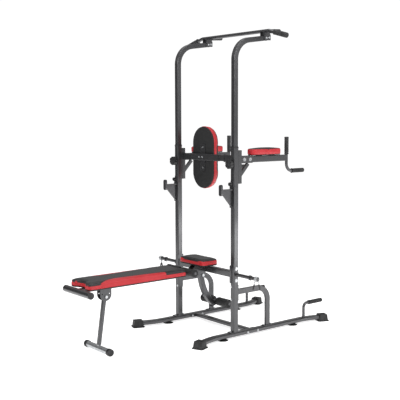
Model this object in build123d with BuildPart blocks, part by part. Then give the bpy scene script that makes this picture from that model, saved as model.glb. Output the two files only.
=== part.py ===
"""Power tower with a folding bench: a gym machine of steel tube, pads and foam rollers.

Frame: millimetres, +Z up, X across the machine, +Y from the bench towards the dip station.
The origin is on the floor at the middle of the machine's footprint. Names with a
y in them are measured from the plane through the two uprights, and at() adds the offset.
"""
import math
import os

from build123d import *

# ------------------------------------------------------------------ driving sizes
SPACING = 640          # between the two uprights, centre to centre
TUBE = 40              # outer upright, square
TUBE_WALL = 1.6
TUBE_CORNER = 5
INNER_TUBE = 36        # telescoping upper tube, square
INNER_WALL = 1.5
LOWER_TOP = 1336       # top of the lower uprights
ENGAGED = 230          # length of upper tube inside the lower one
BAR_HEIGHT = 2150      # centre of the pull-up bar
BAR_REACH = 276        # pull-up bar ahead of the uprights, towards the dip side
BAR_BEND = 140         # centreline radius of the upper tubes' bend
BAR_RISE = 8           # degrees that the upper arms climb

RAIL_WIDTH = 50
RAIL_HEIGHT = 30
RAIL_GROUND = 12       # gap below the rails, filled by the suction cups
RAIL_FRONT = 404       # reach of the boots on the bench side
RAIL_REAR = 904        # reach of the boots on the dip side
RAIL_SPLAY = 21        # degrees that the rail ends turn outwards

BENCH_REACH = 1090     # bench end, measured from the uprights
BENCH_WIDTH = 248
BENCH_TOP = 492        # top of the bench pad
BENCH_THICK = 44
BOARD = 8              # backing boards of the seat and the back rest
THIN_BOARD = 5         # backing boards of the bench and the arm pads

CROSSBAR_Z = 455       # centre of the crossbar that carries the seat
DIP_Z = 1257           # centre of the dip arms
DIP_REACH = 503        # handle axis beyond the uprights
FIT = 0.4              # gap around everything that slides or seats
RUN = 0.05             # radial gap of a turning fit
GAP = 1.0              # space between plates that move past each other
NIP = 0.1              # hairline gap between faces that are clamped together

# ------------------------------------------------------------------ derived places
upright_x = SPACING / 2
upright_y = (BENCH_REACH - RAIL_REAR) / 2  # centres the footprint on the origin
rail_top = RAIL_GROUND + RAIL_HEIGHT
face = TUBE / 2
SIDES = {"left": -1, "right": 1}

os.makedirs("parts", exist_ok=True)


def save(piece, node):
    """Label a finished piece and write it as one STEP file."""
    piece.part.label = node
    export_step(piece.part, f"parts/{node}.step")


def at(x, y, z):
    """A level plane at a point measured from the uprights."""
    return Plane(origin=(x, upright_y + y, z), x_dir=(1, 0, 0), z_dir=(0, 0, 1))


def facing_x(x, y, z, side=1):
    """A plane whose normal points along +X or -X, with local y up."""
    return Plane(origin=(x, upright_y + y, z), x_dir=(0, side, 0), z_dir=(side, 0, 0))


def facing_y(x, y, z, side=1):
    """A plane whose normal points along +Y or -Y, with local y up."""
    return Plane(origin=(x, upright_y + y, z), x_dir=(-side, 0, 0), z_dir=(0, side, 0))


def point(x, y, z):
    """A point measured from the uprights."""
    return (x, upright_y + y, z)


def tube_section(width, height, wall, corner):
    """Draw a hollow rounded rectangle in the current sketch."""
    RectangleRounded(width, height, corner)
    RectangleRounded(width - 2 * wall, height - 2 * wall, corner - wall, mode=Mode.SUBTRACT)


def ring_section(diameter, wall):
    """Draw a round tube's section in the current sketch."""
    Circle(diameter / 2)
    Circle(diameter / 2 - wall, mode=Mode.SUBTRACT)


def post(plane, diameter, length, mode=Mode.ADD):
    """Add or cut a round bar standing on a plane."""
    with BuildSketch(plane) as disc:
        Circle(diameter / 2)
    extrude(disc.sketch, amount=length, mode=mode)


# ------------------------------------------------------------------ fasteners
BOLT = 8
HEAD = 14
HEAD_TALL = 5
WASHER = 18
WASHER_THICK = 1.6
HOLE_GAP = 0.5


def bolt(plane, grip, washer=WASHER, head=HEAD):
    """Add a domed bolt: washer and head stand on the plane and the shank runs back from it."""
    post(plane, washer, WASHER_THICK)
    with BuildSketch(plane.offset(WASHER_THICK)) as dome:
        Circle(head / 2)
    extrude(dome.sketch, amount=HEAD_TALL, taper=22)
    post(plane, BOLT, -grip)


def drill(plane, depth, diameter=BOLT + HOLE_GAP):
    """Cut a clearance hole back from a plane."""
    post(plane, diameter, -depth, Mode.SUBTRACT)


# ------------------------------------------------------------------ base
RAIL_CORNER = 11
RAIL_WALL = 2
END_RADIUS = 400       # plan radius where a rail turns outwards
END_RUN = 60           # straight run after that bend
BOOT_LENGTH = 78
BOOT_WIDTH = 76
BOOT_HEIGHT = 50
BOOT_FLARE = 12
BOOT_CORNER = 14
BOOT_LIP = 5
CUP_DIAMETER = 76
CUP_YS = (-105, 580)
BASE_BAR_Y = 156
BASE_BAR_DEPTH = 40
BASE_BAR_HEIGHT = 25
BASE_BOLT_SPAN = 94
FOOT_PLATE = 4
FOOT_PLATE_LENGTH = 96
FOOT_BOLT_Y = 36
ARCH_FOOT_LENGTH = 86

turn_y = END_RADIUS * math.sin(math.radians(RAIL_SPLAY))
turn_x = END_RADIUS * (1 - math.cos(math.radians(RAIL_SPLAY)))
run_y = END_RUN * math.cos(math.radians(RAIL_SPLAY))
run_x = END_RUN * math.sin(math.radians(RAIL_SPLAY))
boot_long = (BOOT_LENGTH + BOOT_FLARE) / 2 - BOOT_CORNER
boot_wide = (BOOT_WIDTH + BOOT_FLARE) / 2 - BOOT_CORNER
tip_reach = (boot_long * math.cos(math.radians(RAIL_SPLAY))
             + boot_wide * math.sin(math.radians(RAIL_SPLAY)) + BOOT_CORNER)
front_straight = -(RAIL_FRONT - tip_reach - turn_y - run_y)
rear_straight = RAIL_REAR - tip_reach - turn_y - run_y
boot_x = upright_x + turn_x + run_x
boot_ys = (front_straight - turn_y - run_y, rear_straight + turn_y + run_y)
rail_mid = RAIL_GROUND + RAIL_HEIGHT / 2


def rail_end_plane(side, y, sense, z):
    """A plane at a rail's end, with its normal along the rail, away from the machine."""
    angle = math.radians(RAIL_SPLAY)
    normal = (side * math.sin(angle), sense * math.cos(angle), 0)
    return Plane(origin=point(side * boot_x, y, z), x_dir=(normal[1], -normal[0], 0), z_dir=normal)


for name, side in SIDES.items():
    with BuildPart() as base_rail:
        with BuildLine() as rail_path:
            start = point(side * boot_x, boot_ys[0], rail_mid)
            knee = point(side * (upright_x + turn_x), front_straight - turn_y, rail_mid)
            Line(start, knee)
            TangentArc(knee, point(side * upright_x, front_straight, rail_mid),
                       tangent=(-side * run_x, run_y, 0))
            Line(point(side * upright_x, front_straight, rail_mid),
                 point(side * upright_x, rear_straight, rail_mid))
            TangentArc(point(side * upright_x, rear_straight, rail_mid),
                       point(side * (upright_x + turn_x), rear_straight + turn_y, rail_mid),
                       tangent=(0, 1, 0))
            Line(point(side * (upright_x + turn_x), rear_straight + turn_y, rail_mid),
                 point(side * boot_x, boot_ys[1], rail_mid))
        with BuildSketch(rail_end_plane(side, boot_ys[0], -1, rail_mid)):
            tube_section(RAIL_WIDTH, RAIL_HEIGHT, RAIL_WALL, RAIL_CORNER)
        sweep()
    save(base_rail, f"{name}_base_rail")

with BuildPart() as rail_end_boots:
    for side in SIDES.values():
        for y, sense in zip(boot_ys, (-1, 1)):
            plane = rail_end_plane(side, y, sense, 0)
            level = Plane(origin=plane.origin, x_dir=plane.x_dir, z_dir=(0, 0, 1))
            with BuildSketch(level):
                RectangleRounded(BOOT_WIDTH + BOOT_FLARE, BOOT_LENGTH + BOOT_FLARE, BOOT_CORNER)
            extrude(amount=BOOT_LIP)
            with BuildSketch(level.offset(BOOT_LIP)):
                RectangleRounded(BOOT_WIDTH, BOOT_LENGTH, 12)
            extrude(amount=BOOT_HEIGHT - BOOT_LIP, taper=9)
            pocket = rail_end_plane(side, y, sense, rail_mid)
            with BuildSketch(pocket.offset(FIT)):
                RectangleRounded(RAIL_WIDTH + FIT, RAIL_HEIGHT + FIT, RAIL_CORNER)
            extrude(amount=-BOOT_LENGTH, mode=Mode.SUBTRACT)
save(rail_end_boots, "rail_end_boots")

with BuildPart() as suction_cups:
    for side in SIDES.values():
        for y in CUP_YS:
            with BuildSketch(facing_y(side * upright_x, y, 0)):
                with BuildLine():
                    Polyline((0, 0), (CUP_DIAMETER / 2, 0), (CUP_DIAMETER / 2 - 2, 3), (14, 8),
                             (12, RAIL_GROUND), (0, RAIL_GROUND), close=True)
                make_face()
            revolve(axis=Axis(point(side * upright_x, y, 0), (0, 0, 1)))
save(suction_cups, "suction_cups")

flange = 5
base_bar_half = upright_x - RAIL_WIDTH / 2 - flange
with BuildPart() as base_crossbar:
    with BuildSketch(facing_x(-base_bar_half, BASE_BAR_Y, rail_mid)):
        tube_section(BASE_BAR_DEPTH, BASE_BAR_HEIGHT, RAIL_WALL, 6)
    extrude(amount=2 * base_bar_half)
    for side in SIDES.values():
        with BuildSketch(facing_x(side * base_bar_half, BASE_BAR_Y, rail_mid, side)):
            RectangleRounded(BASE_BOLT_SPAN + 26, BASE_BAR_HEIGHT, 5)
        extrude(amount=flange - 2 * NIP)
        for y in (-BASE_BOLT_SPAN / 2, BASE_BOLT_SPAN / 2):
            drill(facing_x(side * (base_bar_half + flange), BASE_BAR_Y + y, rail_mid, side), 2 * flange)
save(base_crossbar, "base_crossbar")

# ------------------------------------------------------------------ uprights
upright_base = rail_top + FOOT_PLATE
KNOB_Z = LOWER_TOP - 108
BOSS = 24
BOSS_TALL = 14
STEM = 12
COLLAR_TALL = 15
COLLAR_WALL = 3.5
COLLAR_SKIRT = 12

for name, side in SIDES.items():
    with BuildPart() as lower_upright:
        with BuildSketch(at(side * upright_x, 0, upright_base)):
            tube_section(TUBE, TUBE, TUBE_WALL, TUBE_CORNER)
        extrude(amount=LOWER_TOP - upright_base)
        with BuildSketch(at(side * upright_x, 0, rail_top + NIP)):
            RectangleRounded(RAIL_WIDTH - 4, FOOT_PLATE_LENGTH, 4)
        extrude(amount=FOOT_PLATE - NIP)
        for y in (-FOOT_BOLT_Y, FOOT_BOLT_Y):
            drill(at(side * upright_x, y, upright_base), FOOT_PLATE)
        drill(facing_y(side * upright_x, -face, KNOB_Z, -1), TUBE_WALL + 2, STEM + 2 * HOLE_GAP)
    save(lower_upright, f"{name}_lower_upright")

with BuildPart() as upright_collars:
    for side in SIDES.values():
        with BuildSketch(at(side * upright_x, 0, LOWER_TOP)):
            RectangleRounded(TUBE + COLLAR_WALL, TUBE + COLLAR_WALL, TUBE_CORNER + 1)
        extrude(amount=COLLAR_TALL - 5)
        with BuildSketch(at(side * upright_x, 0, LOWER_TOP + COLLAR_TALL - 5)):
            RectangleRounded(TUBE - 1, TUBE - 1, TUBE_CORNER)
        extrude(amount=5, taper=8)
        with BuildSketch(at(side * upright_x, 0, LOWER_TOP)):
            RectangleRounded(INNER_TUBE + 2 * FIT, INNER_TUBE + 2 * FIT, TUBE_CORNER - 1)
        extrude(amount=COLLAR_TALL, mode=Mode.SUBTRACT)
save(upright_collars, "upright_collars")

with BuildPart() as knob_bosses:
    for side in SIDES.values():
        plane = facing_y(side * upright_x, -face, KNOB_Z, -1)
        post(plane, BOSS, BOSS_TALL)
        post(plane, STEM + 2 * RUN, BOSS_TALL, Mode.SUBTRACT)
save(knob_bosses, "knob_bosses")

KNOB_DIAMETER = 64
KNOB_THICK = 24
KNOB_LOBES = 6
stem_inside = face - INNER_TUBE / 2 - FIT


def lobed_knob(plane, diameter, thick, lobes):
    """Add a star knob with scalloped flanks and a domed cap, standing on a plane."""
    with BuildSketch(plane) as star:
        Circle(diameter / 2)
        if lobes:
            with PolarLocations(diameter / 2 + 5, lobes):
                Circle(9, mode=Mode.SUBTRACT)
    extrude(star.sketch, amount=thick)
    with BuildSketch(plane.offset(thick)) as dome:
        Circle(diameter / 4)
    extrude(dome.sketch, amount=4, taper=20)


for name, side in SIDES.items():
    with BuildPart() as height_knob:
        mouth = facing_y(side * upright_x, -face - BOSS_TALL - GAP, KNOB_Z, -1)
        lobed_knob(mouth, KNOB_DIAMETER, KNOB_THICK, KNOB_LOBES)
        post(mouth, STEM, -(BOSS_TALL + GAP + stem_inside - FIT))
    save(height_knob, f"{name}_height_knob")

# ------------------------------------------------------------------ rear arches
ARCH_WIDTH = 20
ARCH_DEPTH = 40
ARCH_TOP_Z = 328       # centreline of the level run
ARCH_LEG_Y = 318       # centreline of the standing leg
ARCH_BEND = 95
ARCH_PLATE = 5
ARCH_PLATE_TALL = 116
ARCH_BOLT_SPAN = 92
ARCH_FOOT_BOLT_Y = 32
ARCH_PLATE_Z = ARCH_TOP_Z - 6

for name, side in SIDES.items():
    with BuildPart() as rear_arch:
        start = point(side * upright_x, face + ARCH_PLATE, ARCH_TOP_Z)
        with BuildLine() as arch_path:
            Line(start, point(side * upright_x, ARCH_LEG_Y - ARCH_BEND, ARCH_TOP_Z))
            TangentArc(point(side * upright_x, ARCH_LEG_Y - ARCH_BEND, ARCH_TOP_Z),
                       point(side * upright_x, ARCH_LEG_Y, ARCH_TOP_Z - ARCH_BEND),
                       tangent=(0, 1, 0))
            Line(point(side * upright_x, ARCH_LEG_Y, ARCH_TOP_Z - ARCH_BEND),
                 point(side * upright_x, ARCH_LEG_Y, upright_base))
        with BuildSketch(facing_y(side * upright_x, face + ARCH_PLATE, ARCH_TOP_Z)):
            tube_section(ARCH_WIDTH, ARCH_DEPTH, TUBE_WALL, 4)
        sweep()
        with BuildSketch(facing_y(side * upright_x, face + NIP, ARCH_PLATE_Z)):
            RectangleRounded(TUBE - 6, ARCH_PLATE_TALL, 5)
        extrude(amount=ARCH_PLATE - NIP)
        with BuildSketch(at(side * upright_x, ARCH_LEG_Y, rail_top + NIP)):
            RectangleRounded(RAIL_WIDTH - 12, ARCH_FOOT_LENGTH, 4)
        extrude(amount=FOOT_PLATE - NIP)
        for y in (-ARCH_FOOT_BOLT_Y, ARCH_FOOT_BOLT_Y):
            drill(at(side * upright_x, ARCH_LEG_Y + y, upright_base), FOOT_PLATE)
    save(rear_arch, f"{name}_rear_arch")

# ------------------------------------------------------------------ push-up handles
HANDLE = 22
HANDLE_WALL = 2
PUSH_Y = 698
PUSH_TOP = 146
PUSH_BEND = 34
PUSH_REACH = 188
GRIP_WALL = 5
PUSH_GRIP = 135

with BuildPart() as push_up_handles:
    for side in SIDES.values():
        x = side * upright_x
        with BuildLine() as handle_path:
            Line(point(x, PUSH_Y, rail_top + NIP), point(x, PUSH_Y, PUSH_TOP - PUSH_BEND))
            TangentArc(point(x, PUSH_Y, PUSH_TOP - PUSH_BEND),
                       point(x, PUSH_Y + PUSH_BEND, PUSH_TOP), tangent=(0, 0, 1))
            Line(point(x, PUSH_Y + PUSH_BEND, PUSH_TOP), point(x, PUSH_Y + PUSH_REACH, PUSH_TOP))
        with BuildSketch(at(x, PUSH_Y, rail_top + NIP)):
            ring_section(HANDLE, HANDLE_WALL)
        sweep()
save(push_up_handles, "push_up_handles")


def grip(plane, length, core, wall=GRIP_WALL):
    """Add a closed-end sleeve that runs back from a plane over a bar that ends at the plane."""
    with BuildSketch(plane) as end:
        Circle(core / 2 + wall)
    extrude(end.sketch, amount=wall, taper=12)
    with BuildSketch(plane) as sleeve:
        Circle(core / 2 + wall)
        Circle(core / 2 + NIP / 2, mode=Mode.SUBTRACT)
    extrude(sleeve.sketch, amount=-length)

# ------------------------------------------------------------------ seat crossbar
BRACKET_PLATE = 4
BRACKET_TALL = 124
BRACKET_LIP = 16
CROSS_TUBE = 45
CROSS_DEPTH = 40
CROSS_BOLT_SPAN = 84
inner_face_x = upright_x - face

with BuildPart() as seat_crossbar:
    reach = inner_face_x - BRACKET_PLATE
    with BuildSketch(facing_x(-reach, 0, CROSSBAR_Z)):
        tube_section(CROSS_DEPTH, CROSS_TUBE, 2, 5)
    extrude(amount=2 * reach)
    for side in SIDES.values():
        with BuildSketch(at(side * (inner_face_x - BRACKET_PLATE), 0, CROSSBAR_Z - BRACKET_TALL / 2)):
            with Locations((side * (BRACKET_LIP + BRACKET_PLATE) / 2, 0)):
                Rectangle(BRACKET_LIP + BRACKET_PLATE, TUBE + 2 * BRACKET_PLATE + 2 * FIT)
            with Locations((side * (BRACKET_PLATE - 2 * NIP + TUBE), 0)):
                Rectangle(2 * TUBE, TUBE + 2 * FIT, mode=Mode.SUBTRACT)
        extrude(amount=BRACKET_TALL)
        for z in (-CROSS_BOLT_SPAN / 2, CROSS_BOLT_SPAN / 2):
            drill(facing_x(side * inner_face_x, 0, CROSSBAR_Z + z, side), BRACKET_PLATE)
save(seat_crossbar, "seat_crossbar")

PIN_DIAMETER = 25
PIN_END = 566
PIN_COLLAR_X = 490
PIN_COLLAR = 36
with BuildPart() as weight_bars:
    for side in SIDES.values():
        root = facing_x(side * (upright_x + face + NIP), 0, CROSSBAR_Z, side)
        post(root, 44, 5)
        post(root, PIN_DIAMETER, PIN_END - upright_x - face)
        post(facing_x(side * PIN_COLLAR_X, 0, CROSSBAR_Z, side), PIN_COLLAR, -10)
    chamfer(weight_bars.faces().sort_by(Axis.X)[0].edges(), 2)
    chamfer(weight_bars.faces().sort_by(Axis.X)[-1].edges(), 2)
save(weight_bars, "weight_bars")

CLIP_START = 533       # inner end of the clip's coil at rest
CLIP_WIRE = 6
CLIP_TURNS = 5
CLIP_ARM = 62
CLIP_LEAN = 16         # degrees that the two arms lean apart
ARM_SLEEVE = 5
SLEEVE_FROM = 20
for name, side in SIDES.items():
    coil_radius = PIN_DIAMETER / 2 + FIT
    coil_length = CLIP_TURNS * CLIP_WIRE
    with BuildPart() as spring_clip:
        coil = facing_x(side * CLIP_START, 0, CROSSBAR_Z, side)
        post(coil, 2 * (coil_radius + CLIP_WIRE), coil_length)
        for shift in (0, 1):
            angle = math.radians(CLIP_LEAN * (2 * shift - 1))
            x = side * (CLIP_START + CLIP_WIRE + shift * (coil_length - 2 * CLIP_WIRE))
            arm = Plane(origin=point(x, 0, CROSSBAR_Z), x_dir=(1, 0, 0),
                        z_dir=(0, math.sin(angle), -math.cos(angle)))
            post(arm, CLIP_WIRE, coil_radius + CLIP_WIRE + CLIP_ARM)
            sleeve_start = coil_radius + CLIP_WIRE + SLEEVE_FROM
            post(arm.offset(sleeve_start), CLIP_WIRE + ARM_SLEEVE, CLIP_ARM + NIP - SLEEVE_FROM)
        post(coil, 2 * coil_radius, coil_length, Mode.SUBTRACT)
    save(spring_clip, f"{name}_spring_clip")

# ------------------------------------------------------------------ seat and its bracket
PLATE_X = 22           # inner face of the two bracket plates
PLATE = 4
HINGE_Y = -132
HINGE_Z = 438
PIVOT_Y = -46
PIVOT_Z = 411
PIVOT_PIN = 12
SEAT_WIDTH = 290
SEAT_DEPTH = 155
SEAT_Y = -66
SEAT_BOTTOM = 503
SEAT_THICK = 38
cross_front = -CROSS_DEPTH / 2
cross_top = CROSSBAR_Z + CROSS_TUBE / 2
bracket_top = SEAT_BOTTOM - BOARD - PLATE

with BuildPart() as seat_bracket:
    for side in SIDES.values():
        with BuildSketch(facing_x(side * PLATE_X, 0, 0, side)):
            with BuildLine():
                outline = [
                    (cross_front - 2 * NIP, cross_top + 2 * NIP), (8, cross_top + 2 * NIP), (8, bracket_top),
                    (-112, bracket_top), (HINGE_Y - 16, HINGE_Z + 16), (HINGE_Y - 16, HINGE_Z - 16),
                    (PIVOT_Y - 22, PIVOT_Z + 2), (PIVOT_Y - 14, PIVOT_Z - 16),
                    (PIVOT_Y + 14, PIVOT_Z - 16), (cross_front - 2 * NIP, PIVOT_Z + 10),
                ]
                Polyline(*[(side * y, z) for y, z in outline], close=True)
            make_face()
        extrude(amount=PLATE)
        drill(facing_x(side * (PLATE_X + PLATE), HINGE_Y, HINGE_Z, side), PLATE, PIVOT_PIN + 2 * RUN)
        drill(facing_x(side * (PLATE_X + PLATE), PIVOT_Y, PIVOT_Z, side), PLATE, PIVOT_PIN + 2 * RUN)
    with BuildSketch(at(0, -52, bracket_top)):
        RectangleRounded(2 * (PLATE_X + PLATE) + 60, 108, 6)
    extrude(amount=PLATE)
save(seat_bracket, "seat_bracket")

with BuildPart() as seat_board:
    with BuildSketch(at(0, SEAT_Y, bracket_top + PLATE + NIP / 2)):
        RectangleRounded(SEAT_WIDTH - 12, SEAT_DEPTH - 12, 26)
    extrude(amount=BOARD - NIP)
save(seat_board, "seat_board")

with BuildPart() as seat_pad:
    with BuildSketch(at(0, SEAT_Y, SEAT_BOTTOM)):
        RectangleRounded(SEAT_WIDTH, SEAT_DEPTH, 32)
    extrude(amount=SEAT_THICK)
    fillet(seat_pad.faces().sort_by(Axis.Z)[-1].edges(), 8)
save(seat_pad, "seat_pad")

# ------------------------------------------------------------------ bench
SPINE_WIDTH = 38
SPINE_HEIGHT = 28
PAD_REAR = -262
NECK_RADIUS = 95
HEAD_BAR = 46
HEAD_BAR_HALF = 158
CAP = 3
ROLLER_Y = -221
ROLLER_Z = 462
ROLLER = 54
KNEE_HALF = 161
AXLE = 20
LEG_Y = -869
LEG_Z = 366
LEG = 25
LEG_FOOT_Y = -920
FOOT_TUBE = 42
FOOT_HALF = 146
FOOT_CAP = 48
SECTOR_RADIUS = 42

pad_bottom = BENCH_TOP - BENCH_THICK
spine_top = pad_bottom - THIN_BOARD
spine_z = spine_top - SPINE_HEIGHT / 2
head_bar_y = -(BENCH_REACH - HEAD_BAR / 2)
pad_front = head_bar_y + 8
head_bar_z = spine_top - HEAD_BAR / 2 + 2
pad_length = PAD_REAR - pad_front
pad_mid = (PAD_REAR + pad_front) / 2

with BuildPart() as bench_frame:
    spine_end = HINGE_Y - 6
    with BuildSketch(facing_y(0, head_bar_y, spine_z)):
        tube_section(SPINE_WIDTH, SPINE_HEIGHT, 2, 4)
    extrude(amount=spine_end - head_bar_y)
    with BuildSketch(facing_x(-SPINE_WIDTH / 2, HINGE_Y, HINGE_Z)):
        Circle(15)
    extrude(amount=SPINE_WIDTH)
    post(facing_x(-SPINE_WIDTH / 2, HINGE_Y, HINGE_Z), PIVOT_PIN + 2 * RUN, SPINE_WIDTH, Mode.SUBTRACT)
    with BuildSketch(facing_x(-SPINE_WIDTH / 2, head_bar_y, head_bar_z)):
        Circle(HEAD_BAR / 2 - 1)
    extrude(amount=SPINE_WIDTH, mode=Mode.SUBTRACT)
    with BuildSketch(facing_x(-HEAD_BAR_HALF, head_bar_y, head_bar_z)):
        ring_section(HEAD_BAR, 2)
    extrude(amount=2 * HEAD_BAR_HALF)
    for side in SIDES.values():
        with BuildSketch(facing_x(side * SPINE_WIDTH / 2, 0, 0, side)):
            with BuildLine():
                left_y = LEG_Y - SECTOR_RADIUS
                right_y = LEG_Y + SECTOR_RADIUS
                Line((side * left_y, spine_top), (side * right_y, spine_top))
                Line((side * right_y, spine_top), (side * right_y, LEG_Z + 14))
                ThreePointArc((side * right_y, LEG_Z + 14), (side * LEG_Y, LEG_Z - 28),
                              (side * left_y, LEG_Z + 14))
                Line((side * left_y, LEG_Z + 14), (side * left_y, spine_top))
            make_face()
        extrude(amount=PLATE)
        drill(facing_x(side * (SPINE_WIDTH / 2 + PLATE), LEG_Y, LEG_Z, side), PLATE + 1, PIVOT_PIN + 2 * RUN)
        for spot in (-28, 28):
            hole = facing_x(side * (SPINE_WIDTH / 2 + PLATE), LEG_Y + spot, LEG_Z + 20, side)
            drill(hole, PLATE + 1)
        with BuildSketch(facing_x(side * (SPINE_WIDTH / 2 - PLATE), 0, 0, side)):
            with BuildLine():
                Polyline((side * (ROLLER_Y - 18), spine_top - 4), (side * (ROLLER_Y + 18), spine_top - 4),
                         (side * (ROLLER_Y + 13), ROLLER_Z + 13), (side * (ROLLER_Y - 13), ROLLER_Z + 13),
                         close=True)
            make_face()
        extrude(amount=PLATE)
    post(facing_x(-KNEE_HALF, ROLLER_Y, ROLLER_Z), AXLE, 2 * KNEE_HALF)
save(bench_frame, "bench_frame")

with BuildPart() as bench_board:
    with BuildSketch(at(0, pad_mid, spine_top + NIP)):
        RectangleRounded(BENCH_WIDTH - 12, pad_length - 12, 12)
        with Locations((0, -pad_length / 2 - NECK_RADIUS + 34)):
            Circle(NECK_RADIUS, mode=Mode.SUBTRACT)
    extrude(amount=THIN_BOARD - 2 * NIP)
save(bench_board, "bench_board")

with BuildPart() as bench_pad:
    with BuildSketch(at(0, pad_mid, pad_bottom)):
        RectangleRounded(BENCH_WIDTH, pad_length, 16)
        with Locations((0, -pad_length / 2 - NECK_RADIUS + 28)):
            Circle(NECK_RADIUS, mode=Mode.SUBTRACT)
    extrude(amount=BENCH_THICK)
save(bench_pad, "bench_pad")

with BuildPart() as bench_caps:
    for side in SIDES.values():
        plane = facing_x(side * HEAD_BAR_HALF, head_bar_y, head_bar_z, side)
        post(plane.offset(NIP), HEAD_BAR, CAP)
        post(plane.offset(NIP), HEAD_BAR - 4.4, -12)
save(bench_caps, "bench_caps")

leg_length = math.hypot(LEG_FOOT_Y - LEG_Y, LEG_Z - FOOT_CAP / 2)
with BuildPart() as bench_leg:
    down = ((LEG_FOOT_Y - LEG_Y) / leg_length, (FOOT_CAP / 2 - LEG_Z) / leg_length)
    leg_plane = Plane(origin=point(0, LEG_Y, LEG_Z), x_dir=(1, 0, 0), z_dir=(0, down[0], down[1]))
    with BuildSketch(leg_plane):
        tube_section(LEG, LEG, 2, 4)
    extrude(amount=leg_length - FOOT_TUBE / 2 + 3)
    sleeve_half = SPINE_WIDTH / 2 - GAP
    post(facing_x(-sleeve_half, LEG_Y, LEG_Z), LEG + 4, 2 * sleeve_half)
    post(facing_x(-sleeve_half, LEG_Y, LEG_Z), PIVOT_PIN + 2 * RUN, 2 * sleeve_half, Mode.SUBTRACT)
    foot = facing_x(-FOOT_HALF, LEG_FOOT_Y, FOOT_CAP / 2)
    post(foot, FOOT_TUBE, 2 * FOOT_HALF)
    post(foot, FOOT_TUBE - 4, 2 * FOOT_HALF, Mode.SUBTRACT)
save(bench_leg, "bench_leg")

with BuildPart() as leg_foot_caps:
    for side in SIDES.values():
        plane = facing_x(side * FOOT_HALF, LEG_FOOT_Y, FOOT_CAP / 2, side)
        post(plane.offset(-20), FOOT_CAP, 26)
        post(plane.offset(-20), FOOT_TUBE + NIP, 20 + NIP, Mode.SUBTRACT)
save(leg_foot_caps, "leg_foot_caps")

with BuildPart() as leg_pivot_bolt:
    half = SPINE_WIDTH / 2 + PLATE + 1
    post(facing_x(-half, LEG_Y, LEG_Z), PIVOT_PIN, 2 * half)
    for side in SIDES.values():
        post(facing_x(side * half, LEG_Y, LEG_Z, side), 20, 6)
save(leg_pivot_bolt, "leg_pivot_bolt")


def foam_roller(x0, x1, y, z, diameter, core):
    """Add a foam sleeve along X, from x0 out to x1, with a running fit on its axle."""
    side = 1 if x1 > x0 else -1
    post(facing_x(x0, y, z, side), diameter, abs(x1 - x0))
    post(facing_x(x0, y, z, side), core + 2 * RUN, abs(x1 - x0), Mode.SUBTRACT)


for name, side in SIDES.items():
    with BuildPart() as knee_roller:
        foam_roller(side * (SPINE_WIDTH / 2 + GAP), side * (KNEE_HALF - GAP), ROLLER_Y, ROLLER_Z,
                    ROLLER, AXLE)
    save(knee_roller, f"{name}_knee_roller")

# ------------------------------------------------------------------ leg developer
ARM = 38
ARM_HALF = PLATE_X - GAP
ANKLE_Y = 100
ANKLE_Z = 198
ANKLE_HALF = 152
ANKLE_ROLLER = 62
BOW_OUT = 26           # middle of the arm's curve, beyond the pivot
BOW_DOWN = 106
ARM_END_Y = 66
ARM_END_Z = 184

with BuildPart() as developer_arm:
    with BuildLine() as arm_path:
        arm_top = Vector(*point(0, PIVOT_Y, PIVOT_Z))
        bow = Vector(*point(0, PIVOT_Y + BOW_OUT, PIVOT_Z - BOW_DOWN))
        arm_end = Vector(*point(0, ARM_END_Y, ARM_END_Z))
        ThreePointArc(arm_top, bow, arm_end)
    start_plane = Plane(origin=arm_path.line @ 0, x_dir=(1, 0, 0), z_dir=arm_path.line % 0)
    with BuildSketch(start_plane):
        tube_section(ARM, ARM, 2, 5)
    sweep()
    post(facing_x(-ARM_HALF, PIVOT_Y, PIVOT_Z), ARM, 2 * ARM_HALF)
    post(facing_x(-ARM_HALF, PIVOT_Y, PIVOT_Z), PIVOT_PIN + 2 * RUN, 2 * ARM_HALF, Mode.SUBTRACT)
    with BuildSketch(facing_x(-ARM / 2, 0, 0)):
        with BuildLine():
            Polyline((ARM_END_Y - 16, ARM_END_Z - 22), (ARM_END_Y - 8, ARM_END_Z + 14),
                     (ANKLE_Y - 6, ANKLE_Z + 16), (ANKLE_Y + 14, ANKLE_Z + 6),
                     (ANKLE_Y + 12, ANKLE_Z - 14), close=True)
        make_face()
    extrude(amount=ARM)
    post(facing_x(-ANKLE_HALF, ANKLE_Y, ANKLE_Z), AXLE, 2 * ANKLE_HALF)
save(developer_arm, "developer_arm")

PIN_HEAD = 22
PIN_HEAD_TALL = 6
with BuildPart() as bench_pivot_pins:
    half = PLATE_X + PLATE + GAP
    for y, z in ((HINGE_Y, HINGE_Z), (PIVOT_Y, PIVOT_Z)):
        post(facing_x(-half, y, z), PIVOT_PIN, 2 * half)
        for side in SIDES.values():
            post(facing_x(side * half, y, z, side), PIN_HEAD, PIN_HEAD_TALL)
save(bench_pivot_pins, "bench_pivot_pins")

for name, side in SIDES.items():
    with BuildPart() as ankle_roller:
        foam_roller(side * (ARM / 2 + 6), side * (ANKLE_HALF - GAP), ANKLE_Y, ANKLE_Z, ANKLE_ROLLER, AXLE)
    save(ankle_roller, f"{name}_ankle_roller")

# ------------------------------------------------------------------ dip station
CARRIAGE = 34
CARRIAGE_TOP = DIP_Z + 63
CARRIAGE_BOTTOM = DIP_Z - 164
ARM_WIDTH = 25
ARM_TALL = 45
STUB_END = 156
STUB_WALL = 3
BRACE = 22
DIP_BOLT_YS = (78, 132)
carriage_y = face + CARRIAGE / 2 + NIP
carriage_back = face + CARRIAGE

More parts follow.
